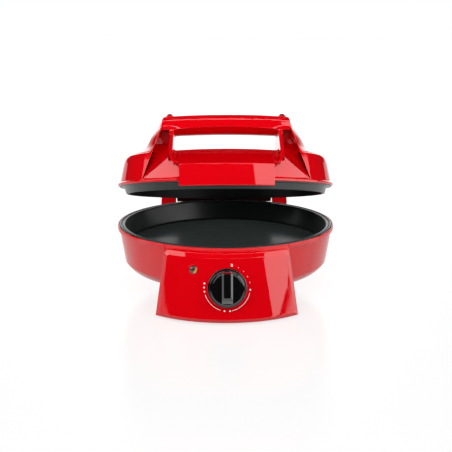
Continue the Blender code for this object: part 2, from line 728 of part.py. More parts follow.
def bottom_cover():
    """Steel disc that closes the bowl from below, with a ring of vent slots."""
    top = up(BOWL_FLOOR_DROP) - FIT
    radius = BOWL_FLOOR_RADIUS
    bottom = top - BOTTOM_SHEET
    cover = turned("bottom_cover", [(0, top), (radius, top), (radius, bottom), (0, bottom)])
    for i in range(VENT_COUNT):
        angle = 2 * pi * i / VENT_COUNT
        middle = Vector((cos(angle), sin(angle), 0))
        across = Vector((-sin(angle), cos(angle), 0)) * VENT_WIDTH / 2
        near = middle * radius * VENT_START_SHARE
        far = middle * radius * VENT_END_SHARE
        ring = [near - across, far - across, far + across, near + across]
        rings = [[tuple(p + Vector((0, 0, z))) for p in ring] for z in (bottom - OVERRUN, top + OVERRUN)]
        cut(cover, hang(loft(f"vent_{i}", rings, cutters), stand))
    return finish(cover, SHEET_STEEL, stand)


# Control panel
def control_panel():
    """Bulging trapezoid plate with a bevelled border, open behind like a tray."""
    def bend(x, y, drop):
        return (x, -face_reach(drop) + y + face_sag(x), up(drop))

    def frame(inset, depth, top_inset=None):
        """One closed ring round the plate at a given inset from its outline and depth from its face."""
        top = CONSOLE_TOP_DROP + (inset if top_inset is None else top_inset)
        bottom = CONSOLE_BOTTOM_DROP - inset
        radius = PANEL_CORNER_RADIUS - inset
        half = console_half_width(top + radius) - inset
        corner = []
        for i in range(PANEL_CORNER_STEPS + 1):
            angle = pi / 2 * i / PANEL_CORNER_STEPS
            corner.append((half - radius + radius * sin(angle), top + radius - radius * cos(angle)))
        flat = half - radius
        upper = [(-x, drop) for x, drop in reversed(corner)]
        for i in range(1, CONSOLE_COLUMNS):
            upper.append((flat * (2 * i / CONSOLE_COLUMNS - 1), top))
        upper += corner
        spread = (console_half_width(bottom) - inset) / half
        ring = [bend(x, depth, drop) for x, drop in upper]
        ring += [bend(x * spread, depth, bottom) for x, drop in reversed(upper)]
        return ring

    bm = bmesh.new()
    wall = PANEL_WALL
    rings = []
    for inset_share, depth_share in PANEL_BEVEL_SHARES:
        rings.append(frame(
            PANEL_BEVEL * inset_share, PANEL_BEVEL * depth_share, top_inset=PANEL_TOP_BEVEL * inset_share,
        ))
    rings += [frame(0, PANEL_THICKNESS), frame(wall, PANEL_THICKNESS), frame(PANEL_BEVEL, wall)]
    columns = len(rings[0]) // 2 - 1
    rows = [[bm.verts.new(point) for point in ring] for ring in rings]
    count = len(rows[0])
    for outer, inner in zip(rows, rows[1:]):
        for i in range(count):
            j = (i + 1) % count
            bm.faces.new((outer[i], outer[j], inner[j], inner[i]))
    for row in (rows[0], rows[-1]):
        upper = row[:columns + 1]
        lower = list(reversed(row[columns + 1:]))
        for i in range(columns):
            bm.faces.new((upper[i], upper[i + 1], lower[i + 1], lower[i]))
    panel = add_mesh("control_panel", mesh_from(bm, "control_panel"))

    shaft_hole = cylinder(
        "panel_shaft_hole", SHAFT_HOLE_RADIUS, (0, 0, -OVERRUN), (0, 0, OVERRUN), collection=cutters,
    )
    seat = cylinder(
        "panel_knob_seat", SURROUND_RADIUS + FIT, (0, 0, -SURROUND_WALL), (0, 0, OVERRUN), steps=FINE_STEPS // 2,
        collection=cutters,
    )
    cut(panel, hang(seat, knob_axis), hang(shaft_hole, knob_axis))
    lamp_hole = cylinder(
        "panel_lamp_hole", LAMP_LENS_RADIUS + FIT, (0, 0, -OVERRUN), (0, 0, OVERRUN), collection=cutters,
    )
    cut(panel, hang(lamp_hole, lamp_axis))
    return finish(panel, RED_ABS, stand)


lamp_axis = make_empty(
    "lamp_axis",
    (-LAMP_OFFSET, -face_reach(LAMP_DROP) + face_sag(LAMP_OFFSET), up(LAMP_DROP)),
    (pi / 2 - FACE_LEAN, 0, -atan(LAMP_OFFSET / CONSOLE_FACE_RADIUS)),
    stand,
)


def knob_parts():
    """Knob, its fixed surround, the thermostat and its shaft, all on the knob's axis."""
    inner = SURROUND_RADIUS - SURROUND_WALL
    seat = -SURROUND_WALL + FIT
    surround = turned(
        "knob_surround",
        [(inner, SURROUND_HEIGHT), (SURROUND_RADIUS - SURROUND_WALL / 3, SURROUND_HEIGHT),
         (SURROUND_RADIUS, SURROUND_HEIGHT - SURROUND_WALL / 2), (SURROUND_RADIUS, seat),
         (SHAFT_HOLE_RADIUS, seat), (SHAFT_HOLE_RADIUS, 0), (inner, 0)],
        steps=FINE_STEPS // 2, closed=True,
    )
    finish(surround, KNOB_BLACK, knob_axis)

    top = KNOB_STAND_OFF + KNOB_DISC_DEPTH
    disc = [(0, top)]
    for radius_share, step_share in KNOB_EDGE_SHARES:
        disc.append((KNOB_RADIUS * radius_share, top + KNOB_RING_STEP * step_share))
    disc += [(KNOB_RADIUS, KNOB_STAND_OFF), (0, KNOB_STAND_OFF)]
    knob = turned("knob", disc, steps=FINE_STEPS // 2)
    reach = KNOB_RADIUS * KNOB_GRIP_END_SHARE
    low_reach = KNOB_RADIUS * KNOB_GRIP_LOW_SHARE
    high_reach = KNOB_RADIUS * KNOB_GRIP_HIGH_SHARE
    half = KNOB_GRIP_WIDTH / 2
    narrow = KNOB_GRIP_TOP_WIDTH / 2
    low = top - KNOB_DISC_DEPTH / 2
    high = top + KNOB_GRIP_HEIGHT
    grip = loft(
        "knob_grip",
        [[(-half, -reach, low), (half, -reach, low), (half, reach, low), (-half, reach, low)],
         [(-half, -reach, top), (half, -reach, top), (half, reach, top), (-half, reach, top)],
         [(-narrow, -low_reach, high), (narrow, -low_reach, high),
          (narrow, high_reach, high), (-narrow, high_reach, high)]],
        cutters,
    )
    join(knob, hang(grip, knob_axis))
    bore = cylinder(
        "knob_bore", SHAFT_RADIUS + SHAFT_CLEARANCE, (0, 0, -OVERRUN), (0, 0, top - KNOB_ROOF), collection=cutters,
    )
    cut(knob, hang(bore, knob_axis))
    finish(knob, KNOB_BLACK, knob_axis)

    back = -PANEL_THICKNESS
    shaft = cylinder(
        "thermostat_shaft", SHAFT_RADIUS, (0, 0, back - THERMOSTAT_BORE + FIT), (0, 0, top - KNOB_ROOF - FIT),
    )
    finish(shaft, SHEET_STEEL, knob_axis)
    thermostat = turned(
        "thermostat",
        [(0, back - THERMOSTAT_BORE), (SHAFT_RADIUS + SHAFT_CLEARANCE, back - THERMOSTAT_BORE),
         (SHAFT_RADIUS + SHAFT_CLEARANCE, back), (THERMOSTAT_RADIUS, back),
         (THERMOSTAT_RADIUS, back - THERMOSTAT_DEPTH), (0, back - THERMOSTAT_DEPTH)],
        steps=SMALL_STEPS,
    )
    finish(thermostat, CERAMIC_WHITE, knob_axis)

    # A steel strap lies behind the thermostat.
    strap_top = back - THERMOSTAT_DEPTH - FIT
    strap = box(
        "thermostat_bracket", (-THERMOSTAT_STRAP / 2, -THERMOSTAT_RADIUS / 2, strap_top - CLIP_SHEET),
        (THERMOSTAT_STRAP / 2, THERMOSTAT_RADIUS / 2, strap_top),
    )
    finish(strap, SHEET_STEEL, knob_axis)


def lamp_parts():
    bore = LAMP_LENS_RADIUS + FIT
    bezel = turned(
        "indicator_bezel",
        [(bore, LAMP_BEZEL_HEIGHT), (LAMP_BEZEL_RADIUS - FIT, LAMP_BEZEL_HEIGHT),
         (LAMP_BEZEL_RADIUS, LAMP_BEZEL_HEIGHT / 2), (LAMP_BEZEL_RADIUS, FIT), (bore, FIT)],
        steps=SMALL_STEPS, closed=True,
    )
    finish(bezel, RED_ABS, lamp_axis)
    dome = []
    for i in range(5):
        angle = pi / 2 * i / 4
        dome.append((LAMP_LENS_RADIUS * sin(angle), LAMP_BEZEL_HEIGHT / 2 + LAMP_DOME_HEIGHT * cos(angle)))
    lens = turned("indicator_lens", dome + [(LAMP_LENS_RADIUS, -PANEL_WALL), (0, -PANEL_WALL)], steps=SMALL_STEPS)
    finish(lens, AMBER_LENS, lamp_axis)
    front = -PANEL_WALL - FIT
    body = cylinder(
        "indicator_lamp", LAMP_BODY_RADIUS, (0, 0, front - LAMP_BODY_LENGTH), (0, 0, front), steps=SMALL_STEPS,
    )
    finish(body, CERAMIC_WHITE, lamp_axis)


# Rear housing with the hinge ears
def bowl_clearance(name, gap):
    """The bowl's outer form, grown by a gap, for whatever wraps round it."""
    body = bowl_profile(-gap, -OVERRUN, BOWL_MOUTH_RADIUS)
    bead = [
        (0, up(-OVERRUN)), (BEAD_RADIUS + gap, up(-OVERRUN)), (BEAD_RADIUS + gap, up(BEAD_TOP_DROP + BEAD_HEIGHT) - gap),
    ]
    tool = turned(name, bead + body[1:] + [(0, body[-1][1])], collection=cutters)
    return hang(tool, stand)


def rear_housing():
    top = up(HOUSING_TOP_DROP)
    bottom = up(CONSOLE_BOTTOM_DROP)
    outline = [
        (HOUSING_ROOT_REACH, bottom), (HOUSING_BACK - HOUSING_EDGE, bottom), (HOUSING_BACK, bottom + HOUSING_EDGE),
        (HOUSING_BACK, PARTING_HEIGHT),
    ]
    for i in range(1, EAR_STEPS):
        angle = pi * i / EAR_STEPS
        outline.append((HINGE_SETBACK + EAR_RADIUS * cos(angle), PARTING_HEIGHT + EAR_RADIUS * sin(angle)))
    outline += [
        (HINGE_SETBACK - EAR_RADIUS, PARTING_HEIGHT), (EAR_FOOT_REACH, top), (HOUSING_ROOT_REACH, top),
    ]
    outer = HOUSING_HALF_WIDTH
    housing = prism("rear_housing", outline, "X", -outer, outer)
    inner = outer - EAR_WIDTH
    gap = box(
        "ear_gap", (-inner, EAR_FOOT_REACH - OVERRUN, top), (inner, HOUSING_BACK + OVERRUN, up(-EAR_RADIUS - OVERRUN)), cutters,
    )
    cut(housing, hang(gap, stand), bowl_clearance("bowl_seat", FIT))
    wall = HOUSING_WALL
    hollow = box(
        "housing_hollow", (-outer + wall, HOUSING_ROOT_REACH + wall, bottom - OVERRUN),
        (outer - wall, HOUSING_BACK - wall, top - wall), cutters,
    )
    cut(hollow, bowl_clearance("bowl_seat_wall", FIT + wall))
    cut(housing, hang(hollow, stand))
    for side in (-1, 1):
        bore = cylinder(
            f"ear_bore_{side}", PIN_RADIUS + PIN_CLEARANCE,
            (side * (inner - OVERRUN), HINGE_SETBACK, PARTING_HEIGHT),
            (side * (outer - PIN_SEAT), HINGE_SETBACK, PARTING_HEIGHT), steps=PIN_STEPS, collection=cutters,
        )
        cut(housing, hang(bore, stand))
    inlet = cylinder(
        "inlet_hole", INLET_RADIUS + FIT, (0, HOUSING_BACK - wall - OVERRUN, INLET_HEIGHT),
        (0, HOUSING_BACK + OVERRUN, INLET_HEIGHT), collection=cutters,
    )
    cut(housing, hang(inlet, stand), lead_port("housing_lead_port"))
    finish(housing, RED_ABS, stand)

    cover = box(
        "housing_cover", (-outer + wall + FIT, HOUSING_ROOT_REACH + wall + FIT, bottom),
        (outer - wall - FIT, HOUSING_BACK - wall - FIT, bottom + wall),
    )
    for side in (-1, 1):
        x = side * FOOT_SIDE_OFFSET
        hole = cylinder(
            f"rear_foot_hole_{side}", FOOT_STEM_RADIUS + FIT, (x, FOOT_BACK_REACH, bottom - OVERRUN),
            (x, FOOT_BACK_REACH, bottom + OVERRUN), collection=cutters,
        )
        cut(cover, hang(hole, stand))
    finish(cover, BLACK_ABS, stand)

    gland = turned(
        "cord_inlet",
        [(INLET_BORE_RADIUS, INLET_FLANGE), (INLET_FLANGE_RADIUS, INLET_FLANGE), (INLET_FLANGE_RADIUS, FIT),
         (INLET_RADIUS, FIT), (INLET_RADIUS, -INLET_DEPTH), (INLET_BORE_RADIUS, -INLET_DEPTH)],
        steps=SMALL_STEPS, closed=True,
    )
    gland.location = (0, HOUSING_BACK, INLET_HEIGHT)
    gland.rotation_euler = (-pi / 2, 0, 0)
    finish(gland, BLACK_ABS, stand)


def lead_port(name):
    """Hole for the internal leads, from the bowl into the rear housing."""
    tool = cylinder(
        name, LEAD_PORT_RADIUS, (0, BOWL_WAIST_RADIUS - OVERRUN, up(LEAD_PORT_DROP)),
        (0, BOWL_RADIUS + OVERRUN / 2, up(LEAD_PORT_DROP)), collection=cutters,
    )
    return hang(tool, stand)


def hinge_parts():
    inner = HOUSING_HALF_WIDTH - EAR_WIDTH
    for side, word in ((-1, "left"), (1, "right")):
        end = side * (HOUSING_HALF_WIDTH - PIN_SEAT - FIT)
        pin = cylinder(
            f"hinge_pin_{word}", PIN_RADIUS, (end, HINGE_SETBACK, PARTING_HEIGHT),
            (end - side * PIN_LENGTH, HINGE_SETBACK, PARTING_HEIGHT), steps=PIN_STEPS,
        )
        finish(pin, SHEET_STEEL, stand)

    # The lid's arm: a barrel between the ears and a web forward to the lid's wall.
    half = inner - ARM_CLEARANCE
    web_front = -(HINGE_SETBACK - sqrt(LID_WALL_TOP_RADIUS ** 2 - half ** 2))
    outline = []
    for i in range(ARM_STEPS + 1):
        angle = -3 * pi / 4 + (5 * pi / 4) * i / ARM_STEPS
        outline.append((ARM_RADIUS * cos(angle), ARM_RADIUS * sin(angle)))
    outline += [(web_front, ARM_RADIUS + ARM_RISE), (web_front, LID_BEAD_TOP)]
    arm = prism("hinge_arm", outline, "X", -half, half)
    seat = lid_turned(
        "lid_seat", lid_profile(-FIT) + [(LID_RADIUS + FIT, LID_BEAD_TOP + FIT), (LID_RADIUS + FIT, -OVERRUN), (0, -OVERRUN)],
        collection=cutters,
    )
    cut(arm, hang(seat, lid_hinge))
    for side in (-1, 1):
        bore = cylinder(
            f"arm_bore_{side}", PIN_RADIUS + PIN_CLEARANCE, (side * (half + OVERRUN), 0, 0),
            (side * (HOUSING_HALF_WIDTH - PIN_SEAT - PIN_LENGTH - PIN_END_GAP), 0, 0), steps=PIN_STEPS,
            collection=cutters,
        )
        cut(arm, hang(bore, lid_hinge))
    finish(arm, BLACK_ABS, lid_hinge)


# Feet
def feet():
    for along, word in ((-FOOT_FRONT_REACH, "front"), (FOOT_BACK_REACH, "rear")):
        for side, hand in ((-1, "left"), (1, "right")):
            floor = up(CONSOLE_BOTTOM_DROP)
            foot = turned(
                f"foot_{word}_{hand}",
                [(0, floor + FOOT_STEM_LENGTH), (FOOT_STEM_RADIUS, floor + FOOT_STEM_LENGTH),
                 (FOOT_STEM_RADIUS, floor - FIT), (FOOT_RADIUS, floor - FIT), (FOOT_BOTTOM_RADIUS, 0), (0, 0)],
                steps=SMALL_STEPS,
            )
            foot.location = (side * FOOT_SIDE_OFFSET, along, 0)
            finish(foot, FOOT_RUBBER, stand)


# Lid
def handle_front(height):
    return -(BRIDGE_FRONT_REACH - BRIDGE_LEAN_SHARE * height)


def bridge_ring(height, front_half, waist_half, columns):
    """One level of the bridge: a flat front, sides that swell to the waist, and a flat back."""
    front = handle_front(height)
    back = ramp_back(height)
    round_off = max(0.0, (height / HANDLE_HEIGHT - HANDLE_SPLIT_SHARE) / (1 - HANDLE_SPLIT_SHARE))
    edge = HANDLE_EDGE * (1 - sqrt(max(0.0, 1 - round_off ** 2)))
    front += edge
    back -= edge
    waist = min(-BRIDGE_WAIST, (front + back) / 2)
    middle = (front + waist) / 2
    ring = []
    reach = front_half
    for i in range(columns + 1):
        ring.append((reach * (2 * i / columns - 1), front))
    swell = front_half + (waist_half - front_half) * BRIDGE_SWELL_SHARE
    side = [(swell, middle), (waist_half, waist), (swell, (waist + back) / 2)]
    ring += side
    for i in range(columns + 1):
        ring.append((-reach * (2 * i / columns - 1), back))
    ring += [(-x, y) for x, y in reversed(side)]
    crown = HANDLE_CROWN * max(0.0, (height - POCKET_TOP) / (HANDLE_HEIGHT - POCKET_TOP))
    return [(x, y, height + crown * (1 - (x / reach) ** 2) if abs(x) < reach else height) for x, y in ring]


def bridge_solid(name, collection=None, low_share=0, high_share=1, lift=0, columns=8):
    """The bridge between two levels of its table, lifted off its seat where it is the cap."""
    rings = []
    for height_share, front_share, waist_share in BRIDGE_SHARES:
        if height_share < low_share or height_share > high_share:
            continue
        ring = bridge_ring(
            HANDLE_HEIGHT * height_share, HANDLE_HALF_WIDTH * front_share, HANDLE_HALF_WIDTH * waist_share, columns,
        )
        rise = lift if height_share == low_share else 0
        rings.append([(x, y, z + rise) for x, y, z in ring])
    bm = bmesh.new()
    rows = [[bm.verts.new(lid_point(*point)) for point in ring] for ring in rings]
    count = len(rows[0])
    for low, high in zip(rows, rows[1:]):
        for i in range(count):
            j = (i + 1) % count
            bm.faces.new((low[i], low[j], high[j], high[i]))
    for row in (rows[0], rows[-1]):
        front = row[:columns + 1]
        back = list(reversed(row[columns + 4:2 * columns + 5]))
        for i in range(columns):
            bm.faces.new((front[i], front[i + 1], back[i + 1], back[i]))
        bm.faces.new([front[-1]] + row[columns + 1:columns + 4] + [back[-1]])
        bm.faces.new([back[0]] + row[2 * columns + 5:] + [front[0]])
    obj = add_mesh(name, mesh_from(bm, name), collection)
    return hang(obj, lid_hinge) if collection is cutters else obj


def lid_profile(offset):
    """Outer side of the round lid, moved inwards by an offset, from the crown down to the wall's foot."""
    top = LID_CROWN_HEIGHT - offset
    shoulder = LID_SHOULDER_HEIGHT - offset
    points = [(0, top)]
    for radius_share, height_share in reversed(LID_SHOULDER_SHARES):
        points.append((LID_WALL_TOP_RADIUS * radius_share - offset, shoulder * height_share))
    points.append((LID_WALL_TOP_RADIUS - offset, LID_WALL_TOP_HEIGHT - offset / 2))
    points.append((LID_WALL_FOOT_RADIUS - offset, LID_WALL_FOOT_HEIGHT))
    return points


def ramp_rings(lower, side_shift, back_shift, top):
    """Rings of one pocket, back to front, over the twisted ramp that runs down to the shield's edge."""
    shield_front = -sqrt(LID_WALL_TOP_RADIUS ** 2 - SHIELD_TOP_HALF_WIDTH ** 2)
    foot_front = -sqrt(LID_WALL_FOOT_RADIUS ** 2 - SHIELD_FOOT_HALF_WIDTH ** 2)
    back = -POCKET_BACK_REACH + back_shift
    inner = WINDOW_HALF_WIDTH + CHEEK_THICKNESS - side_shift
    outer_top = HANDLE_HALF_WIDTH * POCKET_TOP_WIDTH_SHARE - FIN_WALL
    outer_step = HANDLE_HALF_WIDTH * POCKET_STEP_WIDTH_SHARE - FIN_WALL
    rings = []
    columns = 4
    for share in POCKET_ROWS_SHARES:
        inner_y = back + (shield_front - back) * share
        outer_y = back + (foot_front - back) * share
        inner_z = POCKET_STEP + (SHIELD_TOP - POCKET_STEP) * share - lower
        outer_z = POCKET_STEP + (SHIELD_FOOT - POCKET_STEP) * min(share, 1.0) - lower
        outer_x = outer_step + (SHIELD_FOOT_HALF_WIDTH - outer_step) * share
        ring = []
        for i in range(columns + 1):
            t = i / columns
            ring.append((
                inner + (outer_x - inner) * t, inner_y + (outer_y - inner_y) * t, inner_z + (outer_z - inner_z) * t,
            ))
        ring.append((outer_top, outer_y, top))
        ring.append((inner, inner_y, top))
        rings.append(ring)
    return rings


def pocket_cutter(name, side, lower=0, side_shift=0, back_shift=0, top=POCKET_TOP):
    rings = [[lid_point(side * x, y, z) for x, y, z in ring] for ring in ramp_rings(lower, side_shift, back_shift, top)]
    return hang(loft(name, rings, cutters), lid_hinge)


def trim_cutter(name, side, shift=0, lower=0):
    """Clears what is left of the drum in front of the fins, outside the pocket."""
    rings = []
    far = LID_RADIUS + OVERRUN
    for height, half in (
        (SHIELD_FOOT - lower, SHIELD_FOOT_HALF_WIDTH - FIN_WALL),
        (LID_WALL_TOP_HEIGHT, HANDLE_HALF_WIDTH * TRIM_WIDTH_SHARES[0]),
        (POCKET_TOP, HANDLE_HALF_WIDTH * TRIM_WIDTH_SHARES[1]),
    ):
        front = handle_front(height) + shift
        rings.append([(half, -far, height), (far, -far, height), (far, front, height), (half, front, height)])
    rings = [[lid_point(side * x, y, z) for x, y, z in ring] for ring in rings]
    return hang(loft(name, rings, cutters), lid_hinge)


def band_height(y, lower=0):
    """Height of the tongue's sloping band at a place along the lid."""
    front = -APRON_RADIUS
    back = -TONGUE_BACK_REACH
    share = (y - front) / (back - front)
    return APRON_TOP + (WINDOW_FLOOR - APRON_TOP) * share - lower


def saddle_cutter(name, lower, half, back_shift=0):
    """Clears the lid's front between the cheeks, down to just under the tongue's band."""
    front = -LID_RADIUS - OVERRUN
    back = -TONGUE_BACK_REACH + back_shift
    outline = [
        (front - HINGE_SETBACK, band_height(front, lower)), (back - HINGE_SETBACK, band_height(back, lower)),
        (back - HINGE_SETBACK, WINDOW_FLOOR + OVERRUN / 2), (front - HINGE_SETBACK, POCKET_TOP),
    ]
    return hang(prism(name, outline, "X", -half, half, cutters), lid_hinge)


def window_cutter(name, grow=0):
    """Finger window: an arched tunnel right through the bridge, with a belly on the grip's underside."""
    rings = []
    columns = 8
    front = handle_front(0) - OVERRUN
    grip_back = handle_front(HANDLE_HEIGHT) + HANDLE_DEPTH
    half = WINDOW_HALF_WIDTH + grow
    for i in range(columns + 1):
        x = half * (2 * i / columns - 1)
        bow = 1 - (x / half) ** 2
        top = WINDOW_TOP + WINDOW_ARCH * bow + grow
        lip = WINDOW_TOP + GRIP_FRONT_RISE + GRIP_LIP_ARCH * bow + grow
        behind = BRIDGE_BACK_REACH + OVERRUN
        ring = [
            (x, front, WINDOW_FLOOR - grow), (x, behind, WINDOW_FLOOR - grow), (x, behind, top), (x, grip_back, top),
        ]
        for depth_share, rise_share in GRIP_BELLY_SHARES:
            ring.append((x, grip_back - HANDLE_DEPTH * depth_share, top + (lip - top) * rise_share))
        rings.append(ring + [(x, front, lip)])
    return hang(loft(name, lid_rings(rings), cutters), lid_hinge)


def lid_shell():
    seat = PARTING_GAP + PLATE_FLANGE_THICKNESS + FIT
    outer = lid_profile(0)
    flare = LID_RADIUS - LID_WALL_FOOT_RADIUS
    profile = outer + [
        (LID_WALL_FOOT_RADIUS + flare / 4, LID_BEAD_TOP + flare / 2),
        (LID_RADIUS, LID_BEAD_TOP),
        (LID_RADIUS, LID_BEAD_BOTTOM + flare / 4),
        (LID_RADIUS - flare / 4, LID_BEAD_BOTTOM),
        (PLATE_FLANGE_RADIUS + FIT, LID_BEAD_BOTTOM),
        (0, LID_BEAD_BOTTOM),
    ]
    shell = lid_turned("lid_shell", profile)
    join(shell, bridge_solid("bridge_outer", cutters, high_share=HANDLE_SPLIT_SHARE))
    for side in (-1, 1):
        cut(shell, trim_cutter(f"front_trim_{side}", side))
        cut(shell, pocket_cutter(f"pocket_{side}", side))
    cut(shell, saddle_cutter("saddle", APRON_WALL + FIT, WINDOW_HALF_WIDTH + CHEEK_THICKNESS + FIT))
    cut(shell, window_cutter("window"))
    join(shell, cheek("left_cheek", -1), cheek("right_cheek", 1))
    cut(shell, handle_trough("handle_trough", HANDLE_TROUGH, HANDLE_HEIGHT))

    # The hollow under the skin follows the same forms, one wall further in.
    hollow = lid_turned(
        "lid_hollow",
        lid_profile(LID_WALL)
        + [(LID_WALL_FOOT_RADIUS - LID_WALL, seat + LID_WALL / 2), (PLATE_FLANGE_RADIUS + FIT, seat),
           (PLATE_FLANGE_RADIUS + FIT, LID_BEAD_BOTTOM - OVERRUN), (0, LID_BEAD_BOTTOM - OVERRUN)],
        collection=cutters,
    )
    hang(hollow, lid_hinge)
    wall = LID_WALL
    for side in (-1, 1):
        cut(hollow, trim_cutter(f"trim_wall_{side}", side, shift=wall, lower=wall))
        cut(hollow, pocket_cutter(f"pocket_wall_{side}", side, lower=wall, side_shift=wall, back_shift=wall))
    cut(hollow, saddle_cutter(
        "saddle_wall", APRON_WALL + FIT + wall, WINDOW_HALF_WIDTH + CHEEK_THICKNESS + FIT + wall, back_shift=wall,
    ))
    flange_seat = lid_turned(
        "flange_seat",
        [(0, seat), (PLATE_FLANGE_RADIUS + FIT, seat), (PLATE_FLANGE_RADIUS + FIT, -OVERRUN), (0, -OVERRUN)],
        collection=cutters,
    )
    join(hollow, hang(flange_seat, lid_hinge))
    cut(shell, hollow)

    # The bridge is hollow behind its pockets and open on its ramp, under the rear cover.
    for tool in rear_pockets():
        cut(shell, tool)
    return finish(shell, RED_ABS, lid_hinge)


def handle_trough(name, low, high):
    """Hollow inside the grip, under its cap."""
    half = HANDLE_HALF_WIDTH - HANDLE_WALL * 2
    front = handle_front(HANDLE_TROUGH) + HANDLE_WALL
    back = handle_front(HANDLE_HEIGHT) + HANDLE_DEPTH - HANDLE_WALL * 2
    return hang(box(name, lid_point(-half, front, low), lid_point(half, back, high), cutters), lid_hinge)


def handle_cap():
    cap = bridge_solid("handle_cap", low_share=HANDLE_SPLIT_SHARE, lift=FIT)
    cut(cap, handle_trough("cap_hollow", HANDLE_TROUGH, HANDLE_HEIGHT * HANDLE_SPLIT_SHARE + HANDLE_WALL / 2))
    for side in (-1, 1):
        x = side * LID_FOOT_OFFSET
        boss = cylinder(
            f"lid_foot_boss_{side}", LID_FOOT_RADIUS, lid_point(x, handle_middle(), HANDLE_HEIGHT),
            lid_point(x, handle_middle(), HANDLE_HEIGHT + LID_FOOT_BOSS_HEIGHT), cone=LID_FOOT_BOSS_RADIUS,
            collection=cutters,
        )
        join(cap, hang(boss, lid_hinge))
    return finish(cap, RED_ABS, lid_hinge)


def cheek(name, side, grow=0):
    """Web beside the finger window, from the grip down to the tongue's corner, where it bends inwards."""
    near = WINDOW_HALF_WIDTH
    far = WINDOW_HALF_WIDTH + CHEEK_THICKNESS
    corner = APRON_HALF_WIDTH + CHEEK_THICKNESS / 2
    skin = APRON_WALL + FIT + LID_WALL / 2
    rings = []
    root = -TONGUE_BACK_REACH + LID_WALL / 2
    for i, (reach_share, height_share, bend_share) in enumerate(CHEEK_SHARES):
        front = -APRON_RADIUS * reach_share
        height = HANDLE_HEIGHT * height_share
        back = root + (front - root) * CHEEK_FOOT_SHARE * i / (len(CHEEK_SHARES) - 1)
        inner = near + (corner - near) * bend_share - grow
        outer = far + (corner + CHEEK_THICKNESS * CHEEK_TIP_SHARE - far) * bend_share + grow
        low = band_height(back, skin)
        rings.append([
            (side * inner, front - grow, height + grow), (side * outer, front - grow, height + grow),
            (side * outer, back, low), (side * inner, back, low),
        ])
    return hang(loft(name, lid_rings(rings), cutters), lid_hinge)


def ramp_back(height, inset=0):
    top_back = handle_front(HANDLE_HEIGHT) + HANDLE_DEPTH
    share = (HANDLE_HEIGHT - height) / (HANDLE_HEIGHT - LID_SHOULDER_HEIGHT)
    return top_back + (BRIDGE_BACK_REACH - top_back) * share - inset


def rear_pockets():
    """The two hollows of the bridge's legs, behind the pockets, open to the lid's inside."""
    tools = []
    inner = WINDOW_HALF_WIDTH + CHEEK_THICKNESS
    wall = LID_WALL
    for side in (-1, 1):
        rings = []
        heights = (LID_SHOULDER_HEIGHT - wall * 3, HANDLE_HEIGHT * LEG_HOLLOW_TOP_SHARE)
        for height, outer_share in zip(heights, LEG_HOLLOW_WIDTH_SHARES):
            outer = HANDLE_HALF_WIDTH * outer_share
            front = -POCKET_BACK_REACH + wall
            back = ramp_back(height, wall * 2)
            rings.append([(inner, front, height), (outer, front, height), (outer, back, height), (inner, back, height)])
        rings = [[lid_point(side * x, y, z) for x, y, z in ring] for ring in rings]
        tools.append(hang(loft(f"leg_hollow_{side}", rings, cutters), lid_hinge))
    return tools


def tongue():
    """Front tongue: a sloping band, and the curved apron that hangs over the rim from its front edge."""
    columns = TONGUE_COLUMNS
    wall = APRON_WALL
    back = -TONGUE_BACK_REACH - FIT
    rings = []
    for i in range(columns + 1):
        x = APRON_HALF_WIDTH * (2 * i / columns - 1)
        front = -sqrt(APRON_RADIUS ** 2 - x ** 2)
        ring = [(x, back, band_height(back)), (x, front + wall, band_height(front + wall))]
        for depth_share, drop_share in APRON_EDGE_SHARES:
            ring.append((x, front + wall * depth_share, APRON_TOP - wall * drop_share))
        rings.append(ring + [
            (x, front, APRON_BOTTOM + wall * APRON_LIP_SHARE),
            (x, front + wall * APRON_LIP_SHARE, APRON_BOTTOM),
            (x, front + wall, APRON_BOTTOM),
            (x, front + wall, band_height(front + wall, wall)),
            (x, back, band_height(back, wall)),
        ])
    piece = loft("front_tongue", lid_rings(rings))
    wing_front = -LID_WALL_FOOT_RADIUS * WING_FRONT_SHARE
    wing_out = WINDOW_HALF_WIDTH - FIT
    flange_out = APRON_HALF_WIDTH
    flange_in = APRON_HALF_WIDTH - wall
    front = -sqrt(APRON_RADIUS ** 2 - flange_in ** 2) + wall / 2
    rim = -sqrt((BEAD_RADIUS + FIT * 2) ** 2 - flange_out ** 2) - FIT
    foot = -sqrt((LID_WALL_FOOT_RADIUS + FIT * 4) ** 2 - flange_out ** 2)
    for side in (-1, 1):
        wing = prism(
            f"tongue_wing_{side}",
            [(back - HINGE_SETBACK, band_height(back, FIT)), (wing_front - HINGE_SETBACK, band_height(wing_front, FIT)),
             (wing_front - HINGE_SETBACK, band_height(wing_front, wall)), (back - HINGE_SETBACK, band_height(back, wall))],
            "X", side * flange_in, side * wing_out, cutters,
        )
        outline = [
            (front, APRON_TOP - wall), (front, APRON_BOTTOM + wall / 2), (rim, APRON_BOTTOM + wall / 2),
            (rim, LID_BEAD_TOP + wall), (foot, LID_WALL_FOOT_HEIGHT + wall), (foot + wall / 2, APRON_TOP - wall / 2),
        ]
        flange = prism(
            f"tongue_flange_{side}", [(y - HINGE_SETBACK, z) for y, z in outline], "X",
            side * flange_in, side * (flange_out - FIT), cutters,
        )
        join(piece, hang(wing, lid_hinge), hang(flange, lid_hinge))
        cut(piece, cheek(f"cheek_seat_{side}", side, grow=FIT))
    return finish(piece, RED_ABS, lid_hinge)


